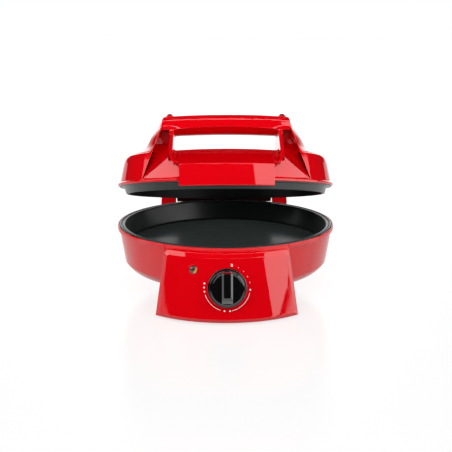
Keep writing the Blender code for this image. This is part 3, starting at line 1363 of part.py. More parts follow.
def upper_plate():
    flange_bottom = PARTING_GAP
    skirt = PLATE_SKIRT_RADIUS
    lip = PAN_WALL
    profile = [
        (0, PLATE_CAVITY_HEIGHT + PAN_WALL),
        (PLATE_DISH_RADIUS, PLATE_CAVITY_HEIGHT + PAN_WALL),
        (PLATE_DISH_RADIUS + PAN_WALL, PLATE_CAVITY_HEIGHT),
        (skirt - lip / 2, flange_bottom + PLATE_FLANGE_THICKNESS),
        (PLATE_FLANGE_RADIUS, flange_bottom + PLATE_FLANGE_THICKNESS),
        (PLATE_FLANGE_RADIUS, flange_bottom + PLATE_FLANGE_THICKNESS / 3),
        (PLATE_FLANGE_RADIUS - PLATE_FLANGE_THICKNESS / 3, flange_bottom),
        (skirt, flange_bottom),
        (skirt - PLATE_SKIRT_DRAFT, flange_bottom - PLATE_SKIRT_DEPTH + lip / 3),
        (skirt - PLATE_SKIRT_DRAFT - lip / 3, flange_bottom - PLATE_SKIRT_DEPTH),
        (skirt - PLATE_SKIRT_DRAFT - lip * 0.8, flange_bottom - PLATE_SKIRT_DEPTH + lip / 4),
        (PLATE_DISH_RADIUS, PLATE_CAVITY_HEIGHT - lip / 2),
        (PLATE_DISH_RADIUS - lip, PLATE_CAVITY_HEIGHT),
        (0, PLATE_CAVITY_HEIGHT),
    ]
    plate = lid_turned("upper_plate", profile)
    back = PLATE_CAVITY_HEIGHT + PAN_WALL
    length = (ELEMENT_TUBE_RADIUS + FIT) * 2 + CLIP_SHEET
    bosses(plate, back, length, lid_hinge, lid_point)
    return finish(plate, NON_STICK, lid_hinge)


def element_points(height, tail, frame):
    """Nearly a full circle of tube, with both ends turned up or down to their terminals."""
    points = []
    start = pi / 2 + ELEMENT_GAP / 2
    sweep = 2 * pi - ELEMENT_GAP
    for i in range(ELEMENT_STEPS + 1):
        angle = start + sweep * i / ELEMENT_STEPS
        points.append(frame(ELEMENT_CIRCLE * cos(angle), ELEMENT_CIRCLE * sin(angle), height))
    x, y = ELEMENT_CIRCLE * cos(start), ELEMENT_CIRCLE * sin(start)
    reach = y + ELEMENT_TAIL
    bend = ELEMENT_TUBE_RADIUS * 2
    first = [frame(x, reach, height + tail), frame(x, reach, height + (bend if tail > 0 else -bend)),
             frame(x, reach - bend, height)]
    last = [frame(-x, reach - bend, height), frame(-x, reach, height + (bend if tail > 0 else -bend)),
            frame(-x, reach, height + tail)]
    return first + points + last


def plain(x, y, z):
    return (x, y, z)


def heating_parts():
    pan_bottom = up(PARTING_GAP + PAN_DEPTH + PAN_WALL)
    height = pan_bottom - ELEMENT_TUBE_RADIUS - FIT
    curve_tube("lower_heating_element", element_points(height, -ELEMENT_DROP, plain), ELEMENT_TUBE_RADIUS,
               stand, HEATER_TUBE)
    floor = pan_bottom - PAN_BOSS_HEIGHT - FIT
    rim = height - ELEMENT_TUBE_RADIUS
    dish = reflector(
        "lower_reflector", [(REFLECTOR_RADIUS, rim), (ELEMENT_CIRCLE - REFLECTOR_SLOPE, floor), (0, floor)],
        stand, plain,
    )
    boss_screws("lower_pan_screw", dish, floor - REFLECTOR_SHEET - FIT, 1, SCREW_LENGTH, stand, plain)
    clips("lower_element_clip", height - ELEMENT_TUBE_RADIUS - FIT - CLIP_SHEET, stand, plain)

    back = PLATE_CAVITY_HEIGHT + PAN_WALL
    height = back + ELEMENT_TUBE_RADIUS + FIT
    curve_tube("upper_heating_element", element_points(height, ELEMENT_DROP, lid_point), ELEMENT_TUBE_RADIUS,
               lid_hinge, HEATER_TUBE)
    clip = height + ELEMENT_TUBE_RADIUS + FIT
    roof = clip + CLIP_SHEET + FIT + REFLECTOR_SHEET
    dish = reflector(
        "upper_reflector", [(REFLECTOR_RADIUS, height), (REFLECTOR_RADIUS - REFLECTOR_EDGE, roof), (0, roof)],
        lid_hinge, lid_point,
    )
    boss_screws("upper_plate_screw", dish, roof + FIT, -1, roof - back, lid_hinge, lid_point)
    clips("upper_element_clip", clip, lid_hinge, lid_point)


def boss_places():
    """Where the three fixing bosses stand, round the pan axis."""
    for i in range(3):
        angle = pi / 2 + 2 * pi * i / 3
        yield i + 1, PAN_BOSS_CIRCLE * cos(angle), PAN_BOSS_CIRCLE * sin(angle)


def boss_screws(name, dish, seat, way, length, parent, frame):
    """Screws that hold a reflector to the bosses of its plate."""
    for i, x, y in boss_places():
        hole = cylinder(
            f"{name}_hole_{i}", SCREW_RADIUS + FIT, frame(x, y, seat - OVERRUN), frame(x, y, seat + OVERRUN),
            steps=SCREW_STEPS, collection=cutters,
        )
        cut(dish, hang(hole, parent))
        screw(f"{name}_{i}", frame(x, y, seat), (0, 0, way), parent, length=length)


def clips(name, low, parent, frame):
    """Three straps that hold the element against its plate."""
    for i in range(3):
        angle = -pi / 2 + 2 * pi * (i + 0.5) / 3 + pi / 3
        strap = box(
            f"{name}_{i + 1}", (ELEMENT_CIRCLE - CLIP_LENGTH / 2, -CLIP_WIDTH / 2, 0),
            (ELEMENT_CIRCLE + CLIP_LENGTH / 2, CLIP_WIDTH / 2, CLIP_SHEET),
        )
        strap.location = frame(0, 0, low)
        strap.rotation_euler = (0, 0, angle)
        finish(strap, SHEET_STEEL, parent)


def reflector(name, outline, parent, frame):
    """Shallow dished sheet behind a heating element, cut away round the element's tails."""
    rim, knee, middle = outline
    sheet = REFLECTOR_SHEET
    profile = [middle, knee, rim, (rim[0], rim[1] - sheet), (knee[0], knee[1] - sheet), (0, middle[1] - sheet)]
    dish = turned(name, profile, steps=FINE_STEPS // 2)
    dish.location = frame(0, 0, 0)
    start = pi / 2 + ELEMENT_GAP / 2
    x, y = ELEMENT_CIRCLE * cos(start), ELEMENT_CIRCLE * sin(start)
    notch = box(
        name + "_notch", frame(x - NOTCH_MARGIN, y - NOTCH_MARGIN, rim[1] - OVERRUN * 3),
        frame(-x + NOTCH_MARGIN, y + ELEMENT_TAIL * 2, rim[1] + OVERRUN * 3), cutters,
    )
    cut(dish, hang(notch, parent))
    return finish(dish, SHEET_STEEL, parent)


def screw(name, seat, direction, parent, material=None, length=SCREW_LENGTH):
    """Pan-head screw: the head lies under its seat and the shank runs along the direction."""
    obj = turned(
        name,
        [(0, length), (SCREW_RADIUS, length), (SCREW_RADIUS, 0), (SCREW_HEAD_RADIUS, 0),
         (SCREW_HEAD_RADIUS, -SCREW_HEAD_HEIGHT / 2), (SCREW_HEAD_TOP_RADIUS, -SCREW_HEAD_HEIGHT),
         (0, -SCREW_HEAD_HEIGHT)],
        steps=SCREW_STEPS,
    )
    obj.location = seat
    obj.rotation_euler = Vector((0, 0, 1)).rotation_difference(Vector(direction)).to_euler()
    return finish(obj, material or SHEET_STEEL, parent)


def handle_middle():
    return handle_front(HANDLE_HEIGHT) + HANDLE_DEPTH / 2


def lid_feet():
    """Rubber tips on the handle, on which the lid rests when it lies open on the table."""
    seat = HANDLE_HEIGHT + LID_FOOT_BOSS_HEIGHT + FIT
    top = HANDLE_HEIGHT + LID_FOOT_HEIGHT
    for side, word in ((-1, "left"), (1, "right")):
        foot = turned(
            f"handle_foot_{word}",
            [(0, top), (LID_FOOT_TOP_RADIUS, top), (LID_FOOT_TIP_RADIUS, (seat + top) / 2),
             (LID_FOOT_TIP_RADIUS, seat), (0, seat)],
            steps=SMALL_STEPS,
        )
        foot.location = lid_point(side * LID_FOOT_OFFSET, handle_middle(), 0)
        finish(foot, FOOT_RUBBER, lid_hinge)


def wiring():
    """Terminal block by the cord inlet, its two leads to the lower element, and the thermal fuse."""
    block = box(
        "terminal_block", (-TERMINAL_WIDTH / 2, TERMINAL_REACH, TERMINAL_FLOOR),
        (TERMINAL_WIDTH / 2, TERMINAL_REACH + TERMINAL_DEPTH, TERMINAL_FLOOR + TERMINAL_HEIGHT),
    )
    finish(block, CERAMIC_WHITE, stand)
    pan_bottom = up(PARTING_GAP + PAN_DEPTH + PAN_WALL)
    start = pi / 2 + ELEMENT_GAP / 2
    x = -ELEMENT_CIRCLE * cos(start)
    y = ELEMENT_CIRCLE * sin(start) + ELEMENT_TAIL
    z = pan_bottom - ELEMENT_TUBE_RADIUS - ELEMENT_DROP - FIT * 2
    port = up(LEAD_PORT_DROP)
    near = BOWL_WAIST_RADIUS - OVERRUN
    block_middle = TERMINAL_FLOOR + TERMINAL_HEIGHT / 2
    for side, word in ((-1, "left"), (1, "right")):
        path = [
            (side * x, y, z), (side * x, y, z - LEAD_BEND), (side * x * LEAD_GATHER_SHARE, y + LEAD_BEND, port),
            (side * LEAD_SPACING, near, port), (side * LEAD_SPACING, TERMINAL_REACH - OVERRUN, port),
            (side * LEAD_SPACING, TERMINAL_REACH - OVERRUN / 2, block_middle),
            (side * LEAD_SPACING, TERMINAL_REACH - FIT, block_middle),
        ]
        curve_tube(f"element_lead_{word}", path, LEAD_RADIUS, stand, LEAD_SLEEVE)
    height = pan_bottom - PAN_BOSS_HEIGHT - FIT - REFLECTOR_SHEET - FIT - FUSE_RADIUS
    fuse = cylinder(
        "thermal_fuse", FUSE_RADIUS, (FUSE_OFFSET - FUSE_LENGTH / 2, 0, height),
        (FUSE_OFFSET + FUSE_LENGTH / 2, 0, height), steps=SMALL_STEPS,
    )
    finish(fuse, CERAMIC_WHITE, stand)


lower_pan()
base_shell()
bottom_cover()
control_panel()
knob_parts()
lamp_parts()
rear_housing()
hinge_parts()
feet()
lid_shell()
handle_cap()
tongue()
upper_plate()
heating_parts()
lid_feet()
wiring()
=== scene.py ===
# %% [markdown]
# An electric countertop cooker with a hinged lid: a red bowl with a dark pan, and a red lid that carries
# a second dark plate.
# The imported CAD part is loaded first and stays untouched. It is the frame that every piece below is
# built on: the sizes here repeat those of the part, in metres, and the pieces only get finer edges.
# The rim of the bowl, the hinge and the knob's axis are the three places that all other sizes hang on.

from math import atan, atan2, cos, degrees, pi, radians, sin, sqrt, tan

import bmesh
import bpy
from mathutils import Matrix, Vector


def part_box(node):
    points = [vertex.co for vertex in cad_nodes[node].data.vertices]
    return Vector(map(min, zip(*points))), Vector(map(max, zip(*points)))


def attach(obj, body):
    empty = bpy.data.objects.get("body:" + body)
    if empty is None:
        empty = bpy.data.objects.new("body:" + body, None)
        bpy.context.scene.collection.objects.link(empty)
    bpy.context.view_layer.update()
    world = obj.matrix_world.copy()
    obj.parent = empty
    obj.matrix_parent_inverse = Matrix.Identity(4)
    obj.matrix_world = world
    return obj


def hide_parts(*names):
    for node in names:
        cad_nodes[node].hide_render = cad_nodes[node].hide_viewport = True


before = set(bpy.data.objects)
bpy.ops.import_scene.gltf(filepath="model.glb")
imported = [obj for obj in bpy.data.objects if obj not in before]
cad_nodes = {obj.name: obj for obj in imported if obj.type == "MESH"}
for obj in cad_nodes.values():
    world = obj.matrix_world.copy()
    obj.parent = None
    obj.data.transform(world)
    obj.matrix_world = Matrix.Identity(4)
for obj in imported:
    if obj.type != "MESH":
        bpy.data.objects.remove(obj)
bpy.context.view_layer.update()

# %% [markdown]
# The part stands on four feet with its pan axis a little in front of the origin. The lid is built shut,
# in the frame of its hinge, and then turned open by 14.4 degrees, because a shut lid has level edges
# that are easy to reason about. The panel leans back, and the knob and the lamp stand square on it.

# %% Frames of the base, the lid and the panel
PARTING = 0.102                 # table to the plane where the two plates meet
OPEN_AT_REST = radians(14.4)
HINGE_SETBACK = 0.197           # pan axis to hinge axis
HOUSING_BACK = 0.209            # pan axis to the rear wall of the housing
COLLAR = 0.002                  # how far the cord inlet's collar stands out behind that wall
FIT = 0.0003                    # gap between pieces that are fitted together
RIM_STEPS = 192                 # faces round a rim

_, back_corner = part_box("cord_inlet")
PAN_Y = back_corner.y - COLLAR - HOUSING_BACK
BASE = Matrix.Translation((0, PAN_Y, 0))
LID = Matrix.Translation((0, PAN_Y + HINGE_SETBACK, PARTING)) @ Matrix.Rotation(-OPEN_AT_REST, 4, "X")

CONSOLE_TOP, CONSOLE_BOTTOM = 0.0062, 0.0985        # drops below the parting plane
CONSOLE_TOP_REACH, CONSOLE_BOTTOM_REACH = 0.170, 0.190
CONSOLE_TOP_HALF, CONSOLE_BOTTOM_HALF = 0.0854924, 0.0984924
FACE_RADIUS = 0.150
LEAN = atan2(CONSOLE_BOTTOM_REACH - CONSOLE_TOP_REACH, CONSOLE_BOTTOM - CONSOLE_TOP)


def face_reach(drop):
    """Pan axis to the middle of the panel's face, at a drop below the parting plane."""
    return CONSOLE_TOP_REACH + (drop - CONSOLE_TOP) * tan(LEAN)


def face_sag(x):
    """How far the bulging face has fallen back at a sideways place."""
    return FACE_RADIUS - sqrt(FACE_RADIUS ** 2 - x ** 2)


KNOB_DROP, LAMP_DROP, LAMP_OFFSET = 0.0512003, 0.02849605, 0.0455
OFF_FACE = Matrix.Rotation(pi / 2 - LEAN, 4, "X")     # turns straight up into straight off the leaning face
KNOB = BASE @ Matrix.Translation((0, -face_reach(KNOB_DROP), PARTING - KNOB_DROP)) @ OFF_FACE
lamp_y = -face_reach(LAMP_DROP) + face_sag(LAMP_OFFSET)
LAMP = BASE @ Matrix.Translation((-LAMP_OFFSET, lamp_y, PARTING - LAMP_DROP)) \
    @ Matrix.Rotation(-atan(LAMP_OFFSET / FACE_RADIUS), 4, "Z") @ OFF_FACE
print("pan axis at y =", round(PAN_Y * 1000, 2), "mm, panel leans", round(degrees(LEAN), 2), "degrees")

# %% [markdown]
# The camera stands 1.6 m away, 13 degrees above the horizontal and a little to the left, as in the
# photograph. A long lens keeps the round rims from bulging. The small shift is the photograph's framing.

# %% Camera
AZIMUTH, ELEVATION, DISTANCE = radians(-0.75), radians(13.03), 1.6
PHOTO_PIXELS = 452
camera_data = bpy.data.cameras.new("photo_camera")
camera = bpy.data.objects.new("photo_camera", camera_data)
bpy.context.scene.collection.objects.link(camera)
aim = Vector((0, PAN_Y, PARTING))
away = Vector((sin(AZIMUTH) * cos(ELEVATION), -cos(AZIMUTH) * cos(ELEVATION), sin(ELEVATION)))
camera.location = aim + away * DISTANCE
camera.rotation_mode = "QUATERNION"
camera.rotation_quaternion = (-away).to_track_quat("-Z", "Y")
camera_data.sensor_width, camera_data.lens = 36, 85.09
camera_data.shift_x, camera_data.shift_y = 0.5 / PHOTO_PIXELS, -5.1 / PHOTO_PIXELS
camera_data.clip_start, camera_data.clip_end = 0.01, 50
bpy.context.scene.camera = camera
bpy.context.scene.view_settings.view_transform = "Standard"
print("camera at", [round(c, 3) for c in camera.location])

# %% [markdown]
# Finishes are node trees. Two small helpers carry them all: one turns a written colour into the linear
# numbers that the shader works with, and one adds a node together with its settings and its links.

# %% Helpers for finishes
def linear(hex_colour):
    """A hex sRGB colour as linear RGBA."""
    channels = [int(hex_colour[i:i + 2], 16) / 255 for i in (1, 3, 5)]
    return tuple(c / 12.92 if c <= 0.04045 else ((c + 0.055) / 1.055) ** 2.4 for c in channels) + (1.0,)


def add(tree, kind, settings=None, **inputs):
    """Adds a node. An input is a value or another node's socket. n0 or n1 is one by number, _ is a space."""
    node = tree.nodes.new(kind)
    for key, value in (settings or {}).items():
        setattr(node, key, value)
    for key, value in inputs.items():
        if key.startswith("n") and key[1:].isdigit():
            socket = node.inputs[int(key[1:])]
        else:
            socket = node.inputs[key.replace("_", " ")]
        if isinstance(value, bpy.types.NodeSocket):
            tree.links.new(value, socket)
        else:
            socket.default_value = value
    return node


def blank_finish(name):
    material = bpy.data.materials.new(name)
    material.use_nodes = True
    material.node_tree.nodes.clear()
    return material, material.node_tree


MM = 0.001


def per(size_mm):
    """Texture scale at which a noise on Object coordinates has features of about this size."""
    return 1 / (size_mm * MM)


print("a mid grey of #808080 is", round(linear("#808080")[0], 3), "in linear light")

# %% [markdown]
# Gloss red ABS, injection moulded. A polished mould gives it a nearly mirror-like skin over a deep red
# body. What gives it away as plastic is the faint waviness of the skin (orange peel, a few millimetres
# across and only microns deep), a little flow variation in the colour, and hairline wipe marks. No edge
# of a moulding is knife sharp, so a bevel node rounds the shading of the seams by 0.8 mm.

# %% Gloss red ABS
def gloss_abs(name, colour, deep, roughness):
    material, tree = blank_finish(name)
    place = add(tree, "ShaderNodeTexCoord").outputs["Object"]
    flow = add(tree, "ShaderNodeTexNoise", Vector=place, Scale=per(60), Detail=2.0)
    tint = add(tree, "ShaderNodeMix", {"data_type": "RGBA"},
               n0=flow.outputs["Fac"], n6=linear(colour), n7=linear(deep))
    peel = add(tree, "ShaderNodeTexNoise", Vector=place, Scale=per(9), Detail=1.0, Roughness=0.3)
    edge = add(tree, "ShaderNodeBevel", {"samples": 6}, Radius=0.8 * MM)
    wave = add(tree, "ShaderNodeBump", Strength=0.12, Distance=0.00006, Height=peel.outputs["Fac"],
               Normal=edge.outputs["Normal"])
    stretch = add(tree, "ShaderNodeMapping", Vector=place, Rotation=(0.3, 0.2, 0.9), Scale=(1, 14, 5))
    wipes = add(tree, "ShaderNodeTexNoise", Vector=stretch.outputs["Vector"], Scale=per(30), Detail=4.0)
    gloss = add(tree, "ShaderNodeMapRange", Value=wipes.outputs["Fac"], n1=0.35, n2=0.75,
                n3=roughness, n4=roughness + 0.025)
    shader = add(
        tree, "ShaderNodeBsdfPrincipled", Base_Color=tint.outputs[2], IOR=1.53,
        Roughness=gloss.outputs["Result"], Normal=wave.outputs["Normal"],
    )
    add(tree, "ShaderNodeOutputMaterial", Surface=shader.outputs["BSDF"])
    return material


RED = gloss_abs("red_abs_gloss_moulded", "#E3000F", "#DA000D", 0.02)
print("made", RED.name)

# %% [markdown]
# Non-stick coating on cast aluminium: a black fluoropolymer, sprayed on and baked. It is satin, with a
# soft sheen that turns grey-green where it catches the light at a low angle, and it carries a fine
# speckle of mica. Under it the cast metal is slightly grainy.

# %% Non-stick coating
def coating(name, colour, fleck, roughness):
    material, tree = blank_finish(name)
    place = add(tree, "ShaderNodeTexCoord").outputs["Object"]
    grain = add(tree, "ShaderNodeTexNoise", Vector=place, Scale=per(1.1), Detail=3.0, Roughness=0.6)
    fleck_mask = add(tree, "ShaderNodeMapRange", Value=grain.outputs["Fac"], n1=0.62, n2=0.78)
    tint = add(tree, "ShaderNodeMix", {"data_type": "RGBA"}, n0=fleck_mask.outputs["Result"],
               n6=linear(colour), n7=linear(fleck))
    patch = add(tree, "ShaderNodeTexNoise", Vector=place, Scale=per(35), Detail=2.0)
    gloss = add(tree, "ShaderNodeMapRange", Value=patch.outputs["Fac"], n1=0.3, n2=0.7,
                n3=roughness, n4=roughness + 0.06)
    bumps = add(tree, "ShaderNodeBump", Strength=0.25, Distance=0.00008, Height=grain.outputs["Fac"])
    shader = add(
        tree, "ShaderNodeBsdfPrincipled", Base_Color=tint.outputs[2], IOR=1.45,
        Roughness=gloss.outputs["Result"], Normal=bumps.outputs["Normal"],
        Coat_Weight=0.35, Coat_Roughness=0.22, Coat_IOR=1.4,
        Sheen_Weight=0.3, Sheen_Roughness=0.35, Sheen_Tint=linear("#A9BAB6"),
    )
    add(tree, "ShaderNodeOutputMaterial", Surface=shader.outputs["BSDF"])
    return material


COATING = coating("non_stick_coating_sprayed", "#0D1011", "#23292A", 0.34)
print("made", COATING.name)

# %% [markdown]
# The smaller finishes. The knob is a harder, shinier black plastic. The hinge arm is satin black ABS with
# the fine spark texture of an unpolished mould. Rubber is matt, sheet steel is zinc plated with soft
# spangles, the heater tubes carry a brown heat tint, and the lamp's lens is clear amber plastic.

# %% Other plastics, rubber, steel and ceramic
def grained(name, colour, other, roughness, size_mm, depth_mm,
            metallic=0.0, spread=0.1, coat=0.0, patch_mm=20):
    """A solid finish with a two-tone patchiness, a fine grain in its surface and an uneven gloss."""
    material, tree = blank_finish(name)
    place = add(tree, "ShaderNodeTexCoord").outputs["Object"]
    patches = add(tree, "ShaderNodeTexNoise", Vector=place, Scale=per(patch_mm), Detail=3.0)
    tint = add(tree, "ShaderNodeMix", {"data_type": "RGBA"},
               n0=patches.outputs["Fac"], n6=linear(colour), n7=linear(other))
    grain = add(tree, "ShaderNodeTexNoise", Vector=place, Scale=per(size_mm), Detail=2.0, Roughness=0.55)
    gloss = add(tree, "ShaderNodeMapRange", Value=grain.outputs["Fac"], n1=0.3, n2=0.7,
                n3=roughness, n4=roughness + spread)
    bumps = add(tree, "ShaderNodeBump", Strength=0.4, Distance=depth_mm * MM, Height=grain.outputs["Fac"])
    shader = add(
        tree, "ShaderNodeBsdfPrincipled", Base_Color=tint.outputs[2], Metallic=metallic,
        Roughness=gloss.outputs["Result"], Normal=bumps.outputs["Normal"],
        Coat_Weight=coat, Coat_Roughness=0.05,
    )
    add(tree, "ShaderNodeOutputMaterial", Surface=shader.outputs["BSDF"])
    return material


KNOB_BLACK = grained("knob_black_polished", "#050506", "#08080A", 0.07, 7, 0.01, spread=0.04, coat=1.0)
SATIN_BLACK = grained("black_abs_spark_textured", "#151516", "#1C1C1D", 0.36, 0.8, 0.05)
RUBBER = grained("rubber_moulded_matt", "#232323", "#2C2B2A", 0.72, 1.2, 0.06)
ZINC = grained("sheet_steel_zinc_plated", "#B9BCBE", "#9DA1A4", 0.28, 2.5, 0.02, metallic=1.0, patch_mm=7)
HEATER = grained("heater_tube_heat_tinted", "#8B8079", "#5E5049", 0.36, 1.5, 0.02, metallic=1.0, patch_mm=14)
CERAMIC = grained("steatite_unglazed", "#DDD6C8", "#CFC6B4", 0.62, 1.4, 0.03)
SLEEVE = grained("silicone_sleeve_braided", "#2B2A29", "#353433", 0.58, 0.9, 0.08)
print("made", [finish.name for finish in (KNOB_BLACK, SATIN_BLACK, RUBBER, ZINC, HEATER, CERAMIC, SLEEVE)])

# %% [markdown]
# The lens is amber polycarbonate over an unlit lamp. The cavity behind it is dark, and a real clear dome
# gathers light into a bright wedge on the side away from it, as a drop of honey does.
# Here that wedge is painted light. The body colour runs from burnt brown to a painted yellow glow across the
# dome, patchy with noise, under a clear coat, and no light passes through it.
# The dial marks are pad printed: a thin layer of matt white ink with slightly uneven cover.

# %% Amber lens and printed ink
def amber_lens():
    material, tree = blank_finish("amber_lens_painted_glow")
    place = add(tree, "ShaderNodeTexCoord").outputs["Object"]
    from_centre = add(tree, "ShaderNodeVectorMath", {"operation": "SUBTRACT"},
                      n0=place, n1=tuple(LAMP.translation))
    across = add(tree, "ShaderNodeVectorMath", {"operation": "DOT_PRODUCT"},
                 n0=from_centre.outputs[0], n1=(0.85, 0, -0.5))
    # painted light: the lens's bright wedge is a ramp across the dome, painted into its colour and made patchy
    # by noise
    painted_glow_wedge = add(tree, "ShaderNodeMapRange", {"interpolation_type": "SMOOTHSTEP"},
                Value=across.outputs["Value"], n1=0.2 * MM, n2=3.2 * MM)
    painted_glow_cloud = add(tree, "ShaderNodeTexNoise", Vector=place, Scale=per(3), Detail=2.0)
    painted_glow_amount = add(tree, "ShaderNodeMath", {"operation": "MULTIPLY"},
                 n0=painted_glow_wedge.outputs["Result"], n1=painted_glow_cloud.outputs["Fac"])
    painted_glow_gain = add(tree, "ShaderNodeMath", {"operation": "MULTIPLY", "use_clamp": True},
               n0=painted_glow_amount.outputs[0], n1=1.9)
    # painted light: the body colour goes from dark brown to a painted yellow glow along the wedge
    tint = add(tree, "ShaderNodeMix", {"data_type": "RGBA"},
               n0=painted_glow_gain.outputs[0], n6=linear("#3B1204"), n7=linear("#F7B42A"))
    shader = add(
        tree, "ShaderNodeBsdfPrincipled", Base_Color=tint.outputs[2], IOR=1.58, Roughness=0.25,
        Coat_Weight=1.0, Coat_Roughness=0.02, Coat_IOR=1.58,
    )
    add(tree, "ShaderNodeOutputMaterial", Surface=shader.outputs["BSDF"])
    return material


AMBER = amber_lens()
INK = grained("pad_printed_white_ink", "#FFFFFF", "#F6F4F2", 0.5, 0.4, 0.01, patch_mm=1.5)
print("made", AMBER.name, INK.name)

# %% [markdown]
# Shapes are made in mesh code. A turned piece is a profile swept round an axis, with every corner of the
# profile rounded first, because it is the small radii that catch the light on a real moulding. A lofted
# piece is a skin over rings. Forms that meet are joined or cut with exact booleans, and two blocks drawn
# as outlines, the housing and the hinge arm, also get a bevel.

# %% Helpers for shapes
def rounded(points, steps=4):
    """A 2-D path whose corners are rounded. A point is (x, y) or (x, y, radius)."""
    path = []
    for i, point in enumerate(points):
        corner = Vector(point[:2])
        radius = point[2] if len(point) > 2 else 0
        if radius == 0 or i in (0, len(points) - 1):
            path.append(corner)
            continue
        before = Vector(points[i - 1][:2]) - corner
        after = Vector(points[i + 1][:2]) - corner
        bend = before.angle(after)
        reach = min(radius / tan(bend / 2), before.length * 0.49, after.length * 0.49)
        radius = reach * tan(bend / 2)
        start, end = corner + before.normalized() * reach, corner + after.normalized() * reach
        middle = corner + (before.normalized() + after.normalized()).normalized() * (radius / sin(bend / 2))
        first = start - middle
        turn = first.angle_signed(end - middle) * -1
        for k in range(steps + 1):
            a = turn * k / steps
            x, y = first.x * cos(a) - first.y * sin(a), first.x * sin(a) + first.y * cos(a)
            path.append(middle + Vector((x, y)))
    return [tuple(p) for p in path]


def smooth_table(rows, count):
    """More rows between the rows of a table, on a smooth cubic curve through them."""
    made = []
    for k in range(count + 1):
        at = (len(rows) - 1) * k / count
        i = min(int(at), len(rows) - 2)
        t = at - i
        p0, p1, p2, p3 = (rows[min(max(i + j, 0), len(rows) - 1)] for j in (-1, 0, 1, 2))
        made.append(tuple(
            0.5 * (2 * b + (c - a) * t + (2 * a - 5 * b + 4 * c - d) * t * t + (3 * b - a - 3 * c + d) * t ** 3)
            for a, b, c, d in zip(p0, p1, p2, p3)
        ))
    return made


workshop = bpy.data.collections.new("workshop")
bpy.context.scene.collection.children.link(workshop)


def keep(name, mesh_builder):
    """A mesh in bmesh form becomes an object in the workshop, with its faces turned outwards."""
    bmesh.ops.remove_doubles(mesh_builder, verts=mesh_builder.verts, dist=1e-7)
    bmesh.ops.recalc_face_normals(mesh_builder, faces=mesh_builder.faces)
    mesh = bpy.data.meshes.new(name)
    mesh_builder.to_mesh(mesh)
    mesh_builder.free()
    piece = bpy.data.objects.new(name, mesh)
    workshop.objects.link(piece)
    return piece


def circle(radius, steps):
    return [(radius * cos(2 * pi * k / steps), radius * sin(2 * pi * k / steps)) for k in range(steps)]


def turned(name, profile, steps=RIM_STEPS, closed=False):
    """Sweeps a profile of (radius, height) round Z. Points on the axis become poles."""
    bm = bmesh.new()
    rings = []
    for radius, height in profile:
        if radius < 1e-9:
            rings.append([bm.verts.new((0, 0, height))] * steps)
        else:
            rings.append([bm.verts.new((x, y, height)) for x, y in circle(radius, steps)])
    pairs = list(zip(rings, rings[1:])) + ([(rings[-1], rings[0])] if closed else [])
    for low, high in pairs:
        for k in range(steps):
            j = (k + 1) % steps
            corners = list(dict.fromkeys((low[k], low[j], high[j], high[k])))
            if len(corners) > 2:
                bm.faces.new(corners)
    return keep(name, bm)


def skin(rings):
    """Side faces over rings of equally many points. Gives the mesh builder and its rows of corners."""
    bm = bmesh.new()
    rows = [[bm.verts.new(point) for point in ring] for ring in rings]
    count = len(rows[0])
    for low, high in zip(rows, rows[1:]):
        for k in range(count):
            j = (k + 1) % count
            bm.faces.new((low[k], low[j], high[j], high[k]))
    return bm, rows


def skinned(name, rings, caps=True):
    """A skin over rings, with a flat cap at both ends."""
    bm, rows = skin(rings)
    if caps:
        bm.faces.new(rows[0])
        bm.faces.new(rows[-1])
    return keep(name, bm)


def slab(name, low, high):
    """A block between two corners, as a cutter."""
    (x0, y0, z0), (x1, y1, z1) = low, high
    return skinned(name, [[(x0, y0, z), (x1, y0, z), (x1, y1, z), (x0, y1, z)] for z in (z0, z1)])


def rod(name, radius, start, end, steps=48):
    """A cylinder between two points."""
    start, end = Vector(start), Vector(end)
    turn = (end - start).to_track_quat("Z", "Y").to_matrix()
    return skinned(name, [
        [centre + turn @ Vector((x, y, 0)) for x, y in circle(radius, steps)] for centre in (start, end)
    ])


def baked(piece):
    """Turns a piece with modifiers into its plain mesh."""
    bpy.context.view_layer.update()
    mesh = bpy.data.meshes.new_from_object(piece.evaluated_get(bpy.context.evaluated_depsgraph_get()))
    piece.modifiers.clear()
    piece.data = mesh
    return piece


def combine(piece, operation, *tools):
    """Joins tools to a piece, or cuts them from it, and removes the tools."""
    for tool in tools:
        modifier = piece.modifiers.new("combine", "BOOLEAN")
        modifier.operation, modifier.solver, modifier.object = operation, "EXACT", tool
        baked(piece)
        bpy.data.objects.remove(tool)
    return piece


def join(piece, *tools):
    return combine(piece, "UNION", *tools)


def cut(piece, *tools):
    return combine(piece, "DIFFERENCE", *tools)


def eased(piece, width_mm, segments):
    """Rounds the edges that are sharper than 50 degrees."""
    modifier = piece.modifiers.new("ease", "BEVEL")
    modifier.width, modifier.segments = width_mm * MM, segments
    modifier.limit_method, modifier.angle_limit = "ANGLE", radians(50)
    modifier.use_clamp_overlap = True
    return baked(piece)


def coat(mesh, finish):
    """Gives all faces of a mesh one finish."""
    mesh.materials.clear()
    mesh.materials.append(finish)
    for face in mesh.polygons:
        face.material_index = 0


def triangles(piece):
    return sum(len(face.vertices) - 2 for face in piece.data.polygons)


finished = []


def hand_over(piece, place, body, finish, stands_for=(), sharp=35):
    """Puts a finished piece in its place in the row frame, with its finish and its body."""
    piece.data.transform(place)
    coat(piece.data, finish)
    piece.data.shade_smooth()
    piece.data.set_sharp_from_angle(angle=radians(sharp))
    even = piece.modifiers.new("even_normals", "WEIGHTED_NORMAL")
    even.mode, even.weight, even.keep_sharp = "FACE_AREA", 80, True
    baked(piece)
    workshop.objects.unlink(piece)
    bpy.context.scene.collection.objects.link(piece)
    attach(piece, body)
    if stands_for:
        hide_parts(*stands_for)
    finished.append(piece)
    print(f"{piece.name}: {triangles(piece)} triangles on {body}")
    return piece


print("shape helpers ready")

# %% [markdown]
# The lower pan is cast aluminium: a flat floor, a steep wall, and a flange that lies on the red rim. The
# flange has a raised outer lip with a shallow groove inside it, which catches drips. In the picture the
# groove shows as one grey ring of light, so its small radii are worth their faces. Three bosses under the
# floor take its screws. The upper plate has three as well, so one function makes both sets.

